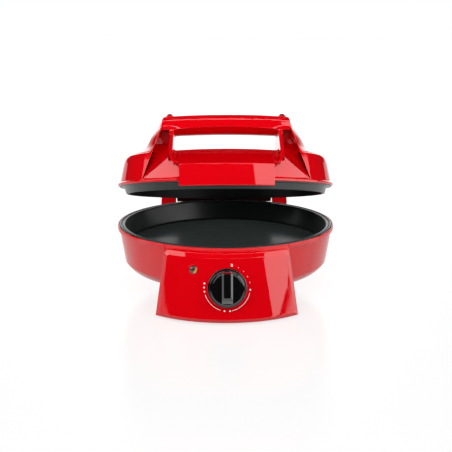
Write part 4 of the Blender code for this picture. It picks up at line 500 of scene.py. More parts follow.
# %% Lower pan
MOUTH, FLANGE, FLANGE_THICK = 0.1505, 0.158, 0.0035
FLOOR_R, DEPTH, WALL, GROOVE = 0.144, 0.030, 0.003, 0.0018
BOSS_CIRCLE, BOSS_R, BOSS_BORE, BOSS_ROOT = 0.060, 0.006, 0.0023, 0.0015
POLE = 0.02                     # radius of the first ring round a pole
top = PARTING - FIT
floor = top - DEPTH


def add_bosses(piece, root, end):
    """Three screw bosses on a circle, each from its root inside the wall to its end."""
    for i in range(3):
        spin = pi / 2 + 2 * pi * i / 3
        boss = turned(f"boss_{i}", rounded([
            (BOSS_BORE, root), (BOSS_R, root), (BOSS_R, end, 0.0005), (BOSS_BORE, end), (BOSS_BORE, root),
        ]), steps=40)
        boss.data.transform(Matrix.Translation((BOSS_CIRCLE * cos(spin), BOSS_CIRCLE * sin(spin), 0)))
        join(piece, boss)


pan = turned("lower_pan_coated", [(0, floor)] + rounded([
    (POLE, floor), (FLOOR_R, floor, 0.004), (MOUTH - 0.0006, top - 0.0012, 0.0012),
    (MOUTH + 0.0010, top - 0.0006, 0.0006), (MOUTH + 0.0030, top - 0.0006, 0.0004),
    (MOUTH + 0.0036, top - GROOVE, 0.0004), (MOUTH + 0.0045, top - GROOVE, 0.0004),
    (MOUTH + 0.0051, top, 0.0005), (FLANGE, top, 0.0028), (FLANGE, top - FLANGE_THICK, 0.0004),
    (MOUTH + WALL, top - FLANGE_THICK, 0.001), (FLOOR_R + WALL, floor - WALL, 0.004), (POLE, floor - WALL),
], 5) + [(0, floor - WALL)])
add_bosses(pan, floor - WALL + BOSS_ROOT, floor - WALL - 0.014)
hand_over(pan, BASE, "base", COATING, ["lower_pan"])

# %% [markdown]
# The upper plate is the pan's counterpart: a flange that meets the pan's, a skirt that drops into its
# mouth, and a shallow dish that closes the cavity. Only its edge shows from the front, as two dark bands
# with a grey highlight. It is turned like the pan, and sits on the pan's axis when the lid is shut.

# %% Upper plate
P_FLANGE, SKIRT, DISH, CAVITY = 0.1572, 0.1495, 0.139, 0.014
PLATE_TOP, SKIRT_FOOT = 0.0033, -0.0092
plate = turned("upper_plate_coated", [(0, CAVITY + WALL)] + rounded([
    (POLE, CAVITY + WALL), (DISH, CAVITY + WALL, 0.002), (DISH + WALL, CAVITY, 0.002),
    (SKIRT - 0.0015, PLATE_TOP, 0.001), (P_FLANGE, PLATE_TOP, 0.0006), (P_FLANGE, FIT, 0.0014),
    (SKIRT + 0.0004, FIT, 0.0008), (SKIRT - 0.002, SKIRT_FOOT, 0.0012), (SKIRT - 0.0045, SKIRT_FOOT, 0.0012),
    (DISH - 0.001, CAVITY, 0.004), (POLE, CAVITY),
], 5) + [(0, CAVITY)])
add_bosses(plate, CAVITY + WALL - BOSS_ROOT, CAVITY + WALL + 0.0084)
ON_PAN_AXIS = Matrix.Translation((0, -HINGE_SETBACK, 0))
hand_over(plate, LID @ ON_PAN_AXIS, "lid", COATING, ["upper_plate"])

# %% [markdown]
# The base is one red moulding: a bowl whose wall leans in a little, a rolled bead round its rim, and a
# box in front that the panel closes. The bowl and the box are turned and lofted on their own and joined,
# and the inside is opened again afterwards. The bead stops where the panel begins.

# %% Base shell
BEAD, BOWL, WAIST, BOWL_FLOOR = 0.1607, 0.1576, 0.1503, 0.09999459      # radii, from the rim downwards
LIP = FLANGE + 0.0006
BEAD_TOP, BEAD_HEIGHT, BOWL_WALL = 0.0012, 0.0065, 0.0026
BEAD_FOOT = PARTING - BEAD_TOP - BEAD_HEIGHT
BOWL_DROP, WAIST_DROP = 0.074, 0.05402
BOWL_MOUTH = BOWL_FLOOR - 0.006
SEAT_MOUTH = MOUTH + WALL + BOWL_WALL / 2
FOOT_SIDE, FOOT_FRONT, FOOT_REAR = 0.072, -0.139, 0.186
seat = FIT + FLANGE_THICK + FIT


def bowl_side(offset, drop, steps=5):
    """The bowl's outer side moved inwards by an offset, from a drop under the rim down to the floor's edge."""
    waist = WAIST - offset
    deep, middle = PARTING - BOWL_DROP + offset, PARTING - WAIST_DROP + offset / 2
    table = [(waist, middle)]
    for out, down in ((0.087, 0.30), (0.245, 0.625), (0.503, 0.875)):
        table.append((waist - (waist - BOWL_FLOOR) * out, middle - (middle - deep) * down))
    table.append((BOWL_FLOOR, deep))
    return [(BOWL - offset, PARTING - drop)] + smooth_table(table, 4 * steps)


outside = rounded([
    (LIP, PARTING - seat), (LIP, PARTING - BEAD_TOP, 0.0003), (BEAD, PARTING - BEAD_TOP, 0.0017),
    (BEAD, BEAD_FOOT, 0.0016), (BOWL, BEAD_FOOT - 0.0006, 0.0012), (BOWL - 0.0003, PARTING - 0.012),
], 4) + bowl_side(0, 0.014)[1:]
inside = bowl_side(BOWL_WALL, seat + BEAD_HEIGHT)
inside_low = inside[-1][1]
shell = turned(
    "base_shell_moulded",
    outside + [(BOWL_MOUTH, PARTING - BOWL_DROP), (BOWL_MOUTH, inside_low)] + inside[::-1]
    + [(SEAT_MOUTH, PARTING - seat)],
    closed=True,
)


def console_half(drop):
    share = (drop - CONSOLE_TOP) / (CONSOLE_BOTTOM - CONSOLE_TOP)
    return CONSOLE_TOP_HALF + (CONSOLE_BOTTOM_HALF - CONSOLE_TOP_HALF) * share


def console_block(name, inset, setback):
    """The console's outer form moved inwards: a trapezoid with a bulging, leaning front."""
    rings = []
    for drop in (CONSOLE_TOP + inset, CONSOLE_BOTTOM - inset):
        half, height = console_half(drop) - inset, PARTING - drop
        xs = [half * (k / 20 - 1) for k in range(41)]
        ring = [(x, -face_reach(drop) + setback + face_sag(x), height) for x in xs]
        rings.append(ring + [(half, -BOWL_FLOOR - inset, height), (-half, -BOWL_FLOOR - inset, height)])
    return skinned(name, rings)


def lead_port():
    """The hole through which the leads pass from the bowl into the rear housing."""
    return rod("lead_port", 0.009, (0, WAIST - 0.01, 0.05), (0, BOWL + 0.005, 0.05))


PANEL_DEPTH = 0.008
neck = turned("neck", [
    (LIP + 0.0014, PARTING + 0.01), (BEAD + 0.01, PARTING + 0.01),
    (BEAD + 0.01, BEAD_FOOT - 0.0007), (LIP + 0.0014, BEAD_FOOT - 0.0007),
], closed=True)
half = CONSOLE_TOP_HALF + FIT
combine(neck, "INTERSECT", slab("neck_range", (-half, -0.2, 0), (half, -BOWL_FLOOR, 0.2)))
cut(shell, neck)
join(shell, console_block("console_outer", 0, PANEL_DEPTH + FIT))
cut(shell, console_block("console_hollow", BOWL_WALL, PANEL_DEPTH + FIT - 0.01))
cut(shell, turned("bowl_hollow", [
    (0, PARTING + 0.01), (LIP, PARTING + 0.01), (LIP, PARTING - seat), (SEAT_MOUTH, PARTING - seat),
] + inside + [(BOWL_MOUTH, inside_low), (BOWL_MOUTH, inside_low - 0.01), (0, inside_low - 0.01)]))
for side in (-1, 1):
    x, y = side * FOOT_SIDE, FOOT_FRONT
    cut(shell, rod("foot_hole", 0.0043, (x, y, -0.01), (x, y, 0.0135)))
cut(shell, lead_port())
hand_over(shell, BASE, "base", RED, ["base_shell"], sharp=30)

# %% [markdown]
# The control panel is a tray that hooks over the console: a bulging face, a chamfered border, and a
# short side wall. Its upper corners are round and its lower ones sharp, and the border's rounded edges
# draw the thin lines of light round the face. It is built from rings, each at an inset and a depth, and
# the seat of the knob and the holes for its shaft and the lamp are cut last.

# %% Control panel
BORDER, TOP_BORDER, CORNER = 0.005, 0.0062, 0.0095


def on_face(x, drop, depth=0.0):
    """A point of the panel: sideways place, drop below the parting plane, depth behind the face."""
    return (x, -face_reach(drop) + depth + face_sag(x), PARTING - drop)


def border_ring(inset, depth, top_inset, columns=36, steps=9):
    top_drop, bottom_drop = CONSOLE_TOP + top_inset, CONSOLE_BOTTOM - inset
    radius = max(CORNER - inset, 0.0006)
    half = console_half(top_drop + radius) - inset
    corner = [
        (half - radius + radius * sin(pi / 2 * k / steps), top_drop + radius - radius * cos(pi / 2 * k / steps))
        for k in range(steps + 1)
    ]
    flat = half - radius
    upper = [(-x, drop) for x, drop in reversed(corner)]
    upper += [(flat * (2 * k / columns - 1), top_drop) for k in range(1, columns)] + corner
    spread = (console_half(bottom_drop) - inset) / half
    return [on_face(x, drop, depth) for x, drop in upper] + \
        [on_face(x * spread, bottom_drop, depth) for x, drop in reversed(upper)]


edge = rounded([(1.5, 0), (1.0, 0.0, 0.20), (0.0, 0.62, 0.30), (0.0, 1.6)], 6)
rings = [border_ring(BORDER * out, BORDER * max(back, 0), TOP_BORDER * out) for out, back in edge]
rings += [
    border_ring(0, PANEL_DEPTH, 0), border_ring(0.003, PANEL_DEPTH, 0.003), border_ring(BORDER, 0.003, BORDER),
]
bm, rows = skin(rings)
half_ring = len(rows[0]) // 2
for row in (rows[0], rows[-1]):
    upper, lower = row[:half_ring], row[half_ring:][::-1]
    for k in range(half_ring - 1):
        bm.faces.new((upper[k], upper[k + 1], lower[k + 1], lower[k]))
panel = keep("control_panel_moulded", bm)
print("panel rings:", len(rings), "of", 2 * half_ring, "points")
for name, radius, low, place in (
    ("knob_seat", 0.0268, -0.0018, KNOB), ("shaft_hole", 0.006, -0.01, KNOB),
    ("lamp_hole", 0.0055, -0.01, LAMP),
):
    tool = rod(name, radius, (0, 0, low), (0, 0, 0.01), steps=72)
    tool.data.transform(BASE.inverted() @ place)
    cut(panel, tool)
hand_over(panel, BASE, "base", RED, ["control_panel"], sharp=24)

# %% [markdown]
# The dial is printed on the panel: a small ring for off, four small dots, one large dot, two arcs, and
# groups of two and three dots. They are generic marks. Dots that repeat round a circle suit Geometry
# Nodes: one tree takes the number, the first angle, the step, the two radii and the ink's thickness, and
# makes flat discs. Each mark is then laid on the bulging face by its own sideways place.

# %% Dial dots with Geometry Nodes
def dot_tree():
    """Discs of ink round a circle, clockwise from the top, in the plane of the dial."""
    tree = bpy.data.node_groups.new("dial_dots", "GeometryNodeTree")
    for name, kind in (
        ("Count", "NodeSocketInt"), ("First angle", "NodeSocketFloat"), ("Step", "NodeSocketFloat"),
        ("Dial radius", "NodeSocketFloat"), ("Dot radius", "NodeSocketFloat"), ("Thickness", "NodeSocketFloat"),
        ("Ink", "NodeSocketMaterial"),
    ):
        tree.interface.new_socket(name=name, in_out="INPUT", socket_type=kind)
    tree.interface.new_socket(name="Geometry", in_out="OUTPUT", socket_type="NodeSocketGeometry")
    given = tree.nodes.new("NodeGroupInput").outputs
    line = add(tree, "GeometryNodeMeshLine", Count=given["Count"], Offset=(0, 0, 0))
    index = add(tree, "GeometryNodeInputIndex").outputs[0]
    turn = add(tree, "ShaderNodeMath", {"operation": "MULTIPLY_ADD"},
               n0=index, n1=given["Step"], n2=given["First angle"])
    across = add(tree, "ShaderNodeMath", {"operation": "SINE"}, n0=turn.outputs[0])
    along = add(tree, "ShaderNodeMath", {"operation": "COSINE"}, n0=turn.outputs[0])
    spot = add(tree, "ShaderNodeCombineXYZ", X=across.outputs[0], Y=along.outputs[0])
    spread = add(tree, "ShaderNodeVectorMath", {"operation": "SCALE"},
                 n0=spot.outputs[0], Scale=given["Dial radius"])
    points = add(tree, "GeometryNodeSetPosition", Geometry=line.outputs["Mesh"], Position=spread.outputs[0])
    disc = add(tree, "GeometryNodeMeshCylinder", {"fill_type": "NGON"}, Vertices=20, Radius=given["Dot radius"],
               Depth=given["Thickness"])
    placed = add(tree, "GeometryNodeInstanceOnPoints", Points=points.outputs[0], Instance=disc.outputs["Mesh"])
    real = add(tree, "GeometryNodeRealizeInstances", Geometry=placed.outputs[0])
    inked = add(tree, "GeometryNodeSetMaterial", Geometry=real.outputs[0], Material=given["Ink"])
    out = tree.nodes.new("NodeGroupOutput")
    tree.links.new(inked.outputs[0], out.inputs[0])
    return tree


DOTS = dot_tree()
DIAL, INK_THICKNESS, BIG_DOT, ARC_HALF = 0.0312, 0.00008, 0.0011, 0.0003


def dots(name, number, first, step, radius):
    """Runs the tree once and gives the discs as a plain mesh in the plane of the dial."""
    piece = bpy.data.objects.new(name, bpy.data.meshes.new(name))
    workshop.objects.link(piece)
    modifier = piece.modifiers.new("dots", "NODES")
    modifier.node_group = DOTS
    values = {
        "Count": number, "First angle": radians(first), "Step": radians(step), "Dial radius": DIAL,
        "Dot radius": radius, "Thickness": INK_THICKNESS, "Ink": INK,
    }
    for socket in DOTS.interface.items_tree:
        if socket.in_out == "INPUT":
            modifier[socket.identifier] = values[socket.name]
    return baked(piece)


def arc(name, first, last, inner, outer, steps=40):
    """A strip of ink round part of the dial."""
    half = INK_THICKNESS / 2
    rings = []
    for k in range(steps + 1):
        a = radians(first + (last - first) * k / steps)
        corners = ((inner, -half), (outer, -half), (outer, half), (inner, half))
        rings.append([(r * sin(a), r * cos(a), z) for r, z in corners])
    return skinned(name, rings, caps=abs(last - first) < 360)


zero = arc("off_ring", 0, 360, 0.00105, 0.00165, steps=28)
zero_at = radians(11.7)
zero.data.transform(
    Matrix.Translation((DIAL * sin(zero_at), DIAL * cos(zero_at), 0)) @ Matrix.Diagonal((0.85, 1.15, 1, 1)))
marks = [
    zero, dots("small_dots", 4, 29, 16.4, 0.00048), dots("large_dot", 1, 96, 0, BIG_DOT),
    dots("two_dots", 2, 173, 14, BIG_DOT), dots("three_dots", 3, 259.5, 10.4, BIG_DOT),
    arc("right_arc", 103, 168, DIAL - ARC_HALF, DIAL + ARC_HALF),
    arc("left_arc", 197, 252, DIAL - ARC_HALF, DIAL + ARC_HALF),
]
bm = bmesh.new()
for mark in marks:
    bm.from_mesh(mark.data)
    bpy.data.objects.remove(mark)
for vertex in bm.verts:
    x, y, z = vertex.co
    vertex.co = on_face(x, KNOB_DROP - y * cos(LEAN), -z - INK_THICKNESS * 0.45)
print("dial marks:", len(bm.faces), "faces")
hand_over(keep("dial_marks_printed", bm), BASE, "base", INK)

# %% [markdown]
# The knob stands in a thin black surround. It is a short drum with a rounded rim, which shows as a fine
# pale ring, and a raised grip bar across it with sloping ends and a flat top. The bar is a loft, with
# every one of its long edges rounded, because those edges are the brightest lines on the knob.

# %% Knob and its surround
SURROUND, KNOB_R, KNOB_FOOT, KNOB_HEIGHT, GRIP_HEIGHT = 0.0265, 0.0243, 0.0012, 0.012, 0.009
BORE_R = 0.00308                # bore for a shaft or a pin of 6 mm
surround = turned("knob_surround_ring", rounded([
    (0.006, -0.0015), (0.006, 0.0), (0.0247, 0.0, 0.0004), (0.0247, 0.0035, 0.0006), (SURROUND, 0.0035, 0.0012),
    (SURROUND, -0.0015), (0.006, -0.0015),
], 5), steps=144)
hand_over(surround, KNOB, "base", KNOB_BLACK, ["knob_surround"])

disc_top = KNOB_FOOT + KNOB_HEIGHT
drum = turned("knob_with_grip", [(0, disc_top - 0.0001)] + rounded([
    (0.004, disc_top - 0.0001), (KNOB_R * 0.80, disc_top, 0.002), (KNOB_R * 0.885, disc_top + 0.0004, 0.001),
    (KNOB_R * 0.945, disc_top - 0.0001, 0.0006), (KNOB_R * 0.99, disc_top - 0.0003, 0.0010),
    (KNOB_R, disc_top - 0.0030, 0.001), (KNOB_R, KNOB_FOOT, 0.0004), (0.004, KNOB_FOOT),
], 6) + [(0, KNOB_FOOT)], steps=144)
grip_rings = []
reach, low_reach, high_reach = KNOB_R * 0.955, KNOB_R * 0.497, KNOB_R * 0.821
for half, rise in rounded([
    (0.00775, -0.003), (0.0074, 0.0062, 0.0010), (0.0047, GRIP_HEIGHT, 0.0010), (0.0010, GRIP_HEIGHT),
], 6):
    up = max(0.0, rise / GRIP_HEIGHT)
    low_end, high_end, r = -(reach + (low_reach - reach) * up), reach + (high_reach - reach) * up, 0.0012
    outline = rounded([
        (0, low_end), (half, low_end, r), (half, high_end, r), (-half, high_end, r), (-half, low_end, r),
        (0, low_end),
    ], 4)[:-1]
    grip_rings.append([(x, y, disc_top + rise) for x, y in outline])
join(drum, skinned("grip", grip_rings))
cut(drum, rod("knob_bore", BORE_R, (0, 0, -0.01), (0, 0, disc_top - 0.003)))
hand_over(drum, KNOB, "knob", KNOB_BLACK, ["knob"], sharp=40)

# %% [markdown]
# The lamp is an amber dome in a red ring. A dome this small only shows a dark middle, a bright wedge and a pale
# ring, so it gets real curvature, its own raised ring, and the amber finish, whose bright wedge is painted
# light in its colour.

# %% Lamp
LENS_R, LENS_FOOT, LENS_RISE = 0.0052, 0.0008, 0.0026
bezel = turned("indicator_bezel_ring", rounded([
    (0.0055, FIT), (0.0055, 0.0016, 0.0004), (0.0068, 0.0016, 0.0008), (0.0068, FIT), (0.0055, FIT),
], 5), steps=96)
hand_over(bezel, LAMP, "base", RED, ["indicator_bezel"])
dome = [(pi / 2 * k / 12) for k in range(1, 13)]
lens = turned("indicator_lens_dome", [(0, LENS_FOOT + LENS_RISE)] + [
    (LENS_R * sin(a), LENS_FOOT + LENS_RISE * cos(a)) for a in dome
] + [(LENS_R, -0.003), (0, -0.003)], steps=96)
hand_over(lens, LAMP, "base", AMBER, ["indicator_lens"])

# %% [markdown]
# Behind the bowl stands the rear housing, and its two ears hold the lid's hinge. The side outline is
# drawn once and pushed sideways, the middle is cut away between the ears, and the bowl's own form is
# subtracted, so that the housing fits round it with a hair's gap.

# %% Rear housing
HALF_BACK, EAR_WIDTH, EAR_R, EAR_FOOT, ROOT = 0.104, 0.0245, 0.012, 0.166, BOWL_FLOOR + 0.004
EAR_FACE, INLET_HEIGHT = 0.0015, 0.028
housing_top, housing_bottom = PARTING - 0.016, PARTING - CONSOLE_BOTTOM
ear = [(HINGE_SETBACK + EAR_R * cos(pi * k / 24), PARTING + EAR_R * sin(pi * k / 24)) for k in range(25)]
outline = rounded([
    (ROOT, housing_bottom), (HOUSING_BACK, housing_bottom, 0.003), (HOUSING_BACK, PARTING),
] + ear[1:-1] + [
    (HINGE_SETBACK - EAR_R, PARTING), (EAR_FOOT, housing_top, 0.012), (ROOT, housing_top),
    (ROOT, housing_bottom),
], 6)[:-1]
housing = skinned("rear_housing_moulded", [[(x, y, z) for y, z in outline] for x in (-HALF_BACK, HALF_BACK)])
inner = HALF_BACK - EAR_WIDTH
cut(housing, slab(
    "ear_gap", (-inner, EAR_FOOT - 0.01, housing_top), (inner, HOUSING_BACK + 0.01, PARTING + 0.022)))
eased(housing, 1.6, 4)


def bowl_form(name, gap):
    """The bowl's outer form, grown by a gap."""
    side = bowl_side(-gap, -0.01)
    return turned(name, [
        (0, PARTING + 0.01), (BEAD + gap, PARTING + 0.01), (BEAD + gap, BEAD_FOOT - gap),
    ] + side[1:] + [(0, side[-1][1])])


cut(housing, bowl_form("bowl_seat", FIT))
hollow = slab(
    "housing_hollow", (-HALF_BACK + WALL, ROOT + WALL, housing_bottom - 0.01),
    (HALF_BACK - WALL, HOUSING_BACK - WALL, housing_top - WALL),
)
cut(hollow, bowl_form("bowl_seat_wall", FIT + WALL))
cut(housing, hollow)
for side in (-1, 1):
    near, far = side * (inner - 0.01), side * (HALF_BACK - EAR_FACE)
    cut(housing, rod("ear_bore", BORE_R, (near, HINGE_SETBACK, PARTING), (far, HINGE_SETBACK, PARTING)))
near, far = HOUSING_BACK - 0.013, HOUSING_BACK + 0.01
cut(housing, rod("inlet_hole", 0.0068, (0, near, INLET_HEIGHT), (0, far, INLET_HEIGHT)))
cut(housing, lead_port())
hand_over(housing, BASE, "base", RED, ["rear_housing"], sharp=30)

gland = turned("cord_inlet_grommet", rounded([
    (0.0037, -0.006), (0.0037, COLLAR, 0.0008), (0.0095, COLLAR, 0.0012), (0.0095, FIT), (0.0065, FIT),
    (0.0065, -0.006), (0.0037, -0.006),
], 4), steps=72)
hand_over(gland, BASE @ Matrix.Translation((0, HOUSING_BACK, INLET_HEIGHT)) @ Matrix.Rotation(-pi / 2, 4, "X"),
          "base", SATIN_BLACK, ["cord_inlet"])

# %% [markdown]
# Four rubber feet carry the base. Each is a plug with a stem that is pressed into the housing, and a
# rounded sole. They repeat, so one loop turns the same profile and sets it at the four places.

# %% Feet
for along, word in ((FOOT_FRONT, "front"), (FOOT_REAR, "rear")):
    for side, hand in ((-1, "left"), (1, "right")):
        foot = turned(f"foot_{word}_{hand}_rubber", [(0, 0.007)] + rounded([
            (0.002, 0.007), (0.004, 0.007, 0.0006), (0.004, 0.0032), (0.010, 0.0032, 0.0006), (0.009, 0, 0.001),
            (0.002, 0),
        ], 4) + [(0, 0)], steps=56)
        place = BASE @ Matrix.Translation((side * FOOT_SIDE, along, 0))
        hand_over(foot, place, "base", RUBBER, [f"foot_{word}_{hand}"])

# %% [markdown]
# The lid is the piece with the most form. A shallow round drum carries a bridge: two legs that rise from
# its shoulders and a grip bar between them. In front of the legs lie two pockets, with thin fins outside
# and cheeks inside. Under the bar a window lets the fingers through, and in front of it the lid is cut
# away for the tongue. Drum, bridge and cutters follow the part's own numbers, with more levels between.

# %% Lid sizes and profiles
LID_R, LID_FOOT_R, LID_TOP_R, LID_WALL = 0.160, 0.1566, 0.1515, 0.0026
SHOULDER, CROWN_H, FOOT_H, TOP_H = 0.0495, 0.052, 0.008, 0.0495 * 0.687
BEAD_LOW, BEAD_HIGH = 0.0018, 0.0052
HANDLE_H, HANDLE_HALF, HANDLE_DEPTH = 0.097, 0.090, 0.036
SPLIT, GRIP_ROUND, GRIP_CROWN = 0.950, 0.0085, 0.0026       # where the cap begins, and the grip's roundings
BOW_FROM, BOW_RADIUS = 0.050, 0.30                          # the grip's ends curve back from here
WINDOW_HALF, WINDOW_FLOOR, WINDOW_TOP = 0.074, 0.0525, 0.0705
WINDOW_FRONT, WINDOW_REAR, WINDOW_CORNER = -0.114, 0.032, 0.0032
CHEEK, FIN = 0.0055, 0.0032                                 # thickness of the pockets' inner and outer webs
POCKET_BACK, POCKET_TOP, POCKET_STEP, POCKET_LEAN = 0.060, 0.0775, 0.060, 0.0025
SHIELD_TOP, SHIELD_FOOT, SHIELD_TOP_HALF, SHIELD_FOOT_HALF = 0.036, 0.0056, 0.080, 0.118
APRON_HALF, APRON_WALL, APRON_BOTTOM = 0.065, 0.0028, -0.0052
APRON_R, APRON_TOP, TONGUE_BACK = 0.164, 0.0495 * 0.505, 0.083
TROUGH_FLOOR = 0.0845                                       # height of the hollow under the handle's cap


def at_lid(points):
    """Points given from the pan axis, in the frame of the hinge."""
    return [(x, y - HINGE_SETBACK, z) for x, y, z in points]


def on_side(side, points):
    """Points given for the right side of the lid, mirrored to the left where the side is -1."""
    return at_lid([(side * x, y, z) for x, y, z in points])


def turned_on_lid(name, profile):
    """A round form about the pan axis, in the frame of the hinge."""
    piece = turned(name, profile)
    piece.data.transform(ON_PAN_AXIS)
    return piece


def lid_side(offset):
    """Outer side of the round lid, moved inwards, from the crown down to the wall's foot."""
    shoulder = SHOULDER - offset
    table = [(0.0, CROWN_H - offset), (LID_TOP_R * 0.45, CROWN_H - offset - 0.0004)]
    for out, high in ((0.865, 1.0), (0.955, 0.917), (0.978, 0.86), (0.990, 0.78)):
        table.append((LID_TOP_R * out - offset, shoulder * high))
    table.append((LID_TOP_R - offset, TOP_H - offset / 2))
    path = smooth_table(table, 42)
    path[0] = table[0]
    return path + [(LID_FOOT_R - offset, FOOT_H)]


def front_at(height):
    """Front of the bridge: it leans back as it rises."""
    return -(0.104 - 0.14 * height)


def back_at(height, inset=0):
    top_back = front_at(HANDLE_H) + HANDLE_DEPTH
    return top_back + (0.022 - top_back) * (HANDLE_H - height) / (HANDLE_H - SHOULDER) - inset


BRIDGE = [                      # share of the handle's height, and of its half width at the front and the waist
    (0.412, 1.230, 1.455), (0.500, 1.165, 1.365), (0.577, 1.122, 1.290), (0.711, 1.073, 1.205),
    (0.794, 1.037, 1.140), (0.887, 1.011, 1.068), (0.950, 1.000, 1.030), (0.985, 0.988, 1.004),
    (1.000, 0.965, 0.975),
]
COLUMNS, SIDE_STEPS = 24, 16


def bridge_level(height, front_half, waist_half):
    """One level of the bridge: a front with ends that curve back, swelling sides, and a flat back."""
    round_off = min(1.0, max(0.0, (height / HANDLE_H - SPLIT) / (1 - SPLIT)))
    fore_off = min(1.0, max(0.0, (height - HANDLE_H + GRIP_ROUND) / GRIP_ROUND))
    front = front_at(height) + GRIP_ROUND * (1 - sqrt(1 - fore_off ** 2))
    back = back_at(height) - 0.004 * (1 - sqrt(1 - round_off ** 2))
    bowed = min(1.0, max(0.0, (height - POCKET_TOP) / 0.0045))

    def bent(y):
        return y + bowed * (front_half - BOW_FROM) ** 2 / BOW_RADIUS * (back - y) / (back - front)

    waist = min(-0.040, (front + back) / 2)
    swell = front_half + (waist_half - front_half) * 0.58
    side = smooth_table([
        (front_half, front), (swell, (front + waist) / 2), (waist_half, waist), (swell, (waist + back) / 2),
        (front_half, back),
    ], SIDE_STEPS)[1:-1]
    xs = [front_half * (2 * k / COLUMNS - 1) for k in range(COLUMNS + 1)]
    ring = [(x, front + bowed * max(0.0, abs(x) - BOW_FROM) ** 2 / BOW_RADIUS) for x in xs]
    ring += [(x, bent(y)) for x, y in side] + [(-x, back) for x in xs]
    ring += [(-x, bent(y)) for x, y in reversed(side)]
    crown = GRIP_CROWN * max(0.0, (height - POCKET_TOP) / (HANDLE_H - POCKET_TOP))
    return [(x, y, height + crown * max(0.0, 1 - (x / front_half) ** 2)) for x, y in ring]


def bridge_form(name, low, high, lift=0.0):
    """The bridge between two shares of its height. Its caps are strips from the front to the back."""
    rings = []
    for share, front, waist in smooth_table(BRIDGE, (len(BRIDGE) - 1) * 4):
        if not low - 1e-6 <= share <= high + 1e-6:
            continue
        ring = bridge_level(HANDLE_H * share, HANDLE_HALF * front, HANDLE_HALF * waist)
        rise = lift if abs(share - low) < 1e-6 else 0
        rings.append(at_lid([(x, y, z + rise) for x, y, z in ring]))
    bm, rows = skin(rings)
    across, around = COLUMNS + 1, SIDE_STEPS - 1
    for row in (rows[0], rows[-1]):
        fore, right = row[:across], row[across:across + around]
        aft, left = row[across + around:2 * across + around][::-1], row[2 * across + around:]
        for k in range(COLUMNS):
            bm.faces.new((fore[k], fore[k + 1], aft[k + 1], aft[k]))
        bm.faces.new([fore[-1]] + right + [aft[-1]])
        bm.faces.new([aft[0]] + left + [fore[0]])
    return keep(name, bm)


print("grip from", round(front_at(HANDLE_H) * 1000, 1), "to", round(back_at(HANDLE_H) * 1000, 1), "mm")

# %% [markdown]
# The cutters come next: the pockets with their twisted ramps, the trim in front of the fins, the saddle
# under the tongue and the arched finger window. The first three take an offset, so that the same form,
# moved in by a wall's thickness, shapes the hollow inside, and the lid comes out as a real shell.

# %% Lid cutters
def pocket(name, side, lower=0.0, side_shift=0.0, back_shift=0.0):
    """The room between a fin and a cheek, over a ramp that twists from the step down to the rim."""
    shield_front = -sqrt(LID_TOP_R ** 2 - SHIELD_TOP_HALF ** 2)
    foot_front = -sqrt(LID_FOOT_R ** 2 - SHIELD_FOOT_HALF ** 2)
    back = -POCKET_BACK + back_shift
    near = WINDOW_HALF + CHEEK - side_shift
    outer_top, outer_step = HANDLE_HALF * 1.055 - FIN, HANDLE_HALF * 1.155 - FIN
    rings = []
    for share in [k / 10 for k in range(0, 11)] + [1.35, 1.7]:
        inner_y, outer_y = back + (shield_front - back) * share, back + (foot_front - back) * share
        inner_z = POCKET_STEP + (SHIELD_TOP - POCKET_STEP) * share - lower
        outer_z = POCKET_STEP + (SHIELD_FOOT - POCKET_STEP) * min(share, 1.0) - lower
        outer_x = outer_step + (SHIELD_FOOT_HALF - outer_step) * share
        ring = [
            (near + (outer_x - near) * t, inner_y + (outer_y - inner_y) * t, inner_z + (outer_z - inner_z) * t)
            for t in [k / 12 for k in range(13)]
        ]
        lean = POCKET_LEAN if share == 0 else 0
        ring += [(outer_top, outer_y + lean, POCKET_TOP), (near, inner_y + lean, POCKET_TOP)]
        rings.append(on_side(side, ring))
    return skinned(name, rings)


def trim(name, side, shift=0.0, lower=0.0):
    """What is cut away in front of a fin."""
    rings = []
    for height, half in (
        (SHIELD_FOOT - lower, SHIELD_FOOT_HALF - FIN), (TOP_H, HANDLE_HALF * 1.16),
        (POCKET_TOP, HANDLE_HALF * 0.90),
    ):
        front = front_at(height) + shift
        rings.append(on_side(side, [
            (half, -0.17, height), (0.17, -0.17, height), (0.17, front, height), (half, front, height),
        ]))
    return skinned(name, rings)


def band_at(y, lower=0.0):
    """Height of the tongue's sloping band at a place along the lid."""
    return APRON_TOP + (WINDOW_FLOOR - APRON_TOP) * (y + APRON_R) / (APRON_R - TONGUE_BACK) - lower


ROLL, ROLL_DROP, SILL_BOW, SADDLE_DROP = 0.0064, 0.0012, 0.0024, 0.0030


def sill(x):
    """Height of the window's sill, which is arched a little, like the grip above it."""
    return WINDOW_FLOOR - SILL_BOW * (x / WINDOW_HALF) ** 2


def apron_front(x):
    return -sqrt(APRON_R ** 2 - x ** 2)


def tongue_top(x, y):
    """The tongue's upper face: ruled from the apron's top edge to the sill, and rolled over at the back."""
    front = apron_front(min(abs(x), APRON_HALF))
    share = (y - front) / (-TONGUE_BACK - front)
    into = max(0.0, (y + TONGUE_BACK + ROLL) / ROLL)
    return APRON_TOP + (sill(x) - APRON_TOP) * share - ROLL_DROP * into ** 2


def saddle(name, lower, half, back_shift=0.0):
    """The bed of the tongue."""
    front, back = -0.17, -TONGUE_BACK + back_shift
    outline = [
        (front, band_at(front, lower)), (back, band_at(back, lower)), (back, WINDOW_FLOOR + 0.005),
        (front, POCKET_TOP),
    ]
    return skinned(name, [at_lid([(x, y, z) for y, z in outline]) for x in (-half, half)])


GRIP_UNDERSIDE = (              # shares of the grip's depth, and of the rise of its underside towards the front
    (0.25, 0.0), (0.45, 0.03), (0.58, 0.14), (0.72, 0.35), (0.82, 0.57), (0.92, 0.8), (0.97, 0.93),
)


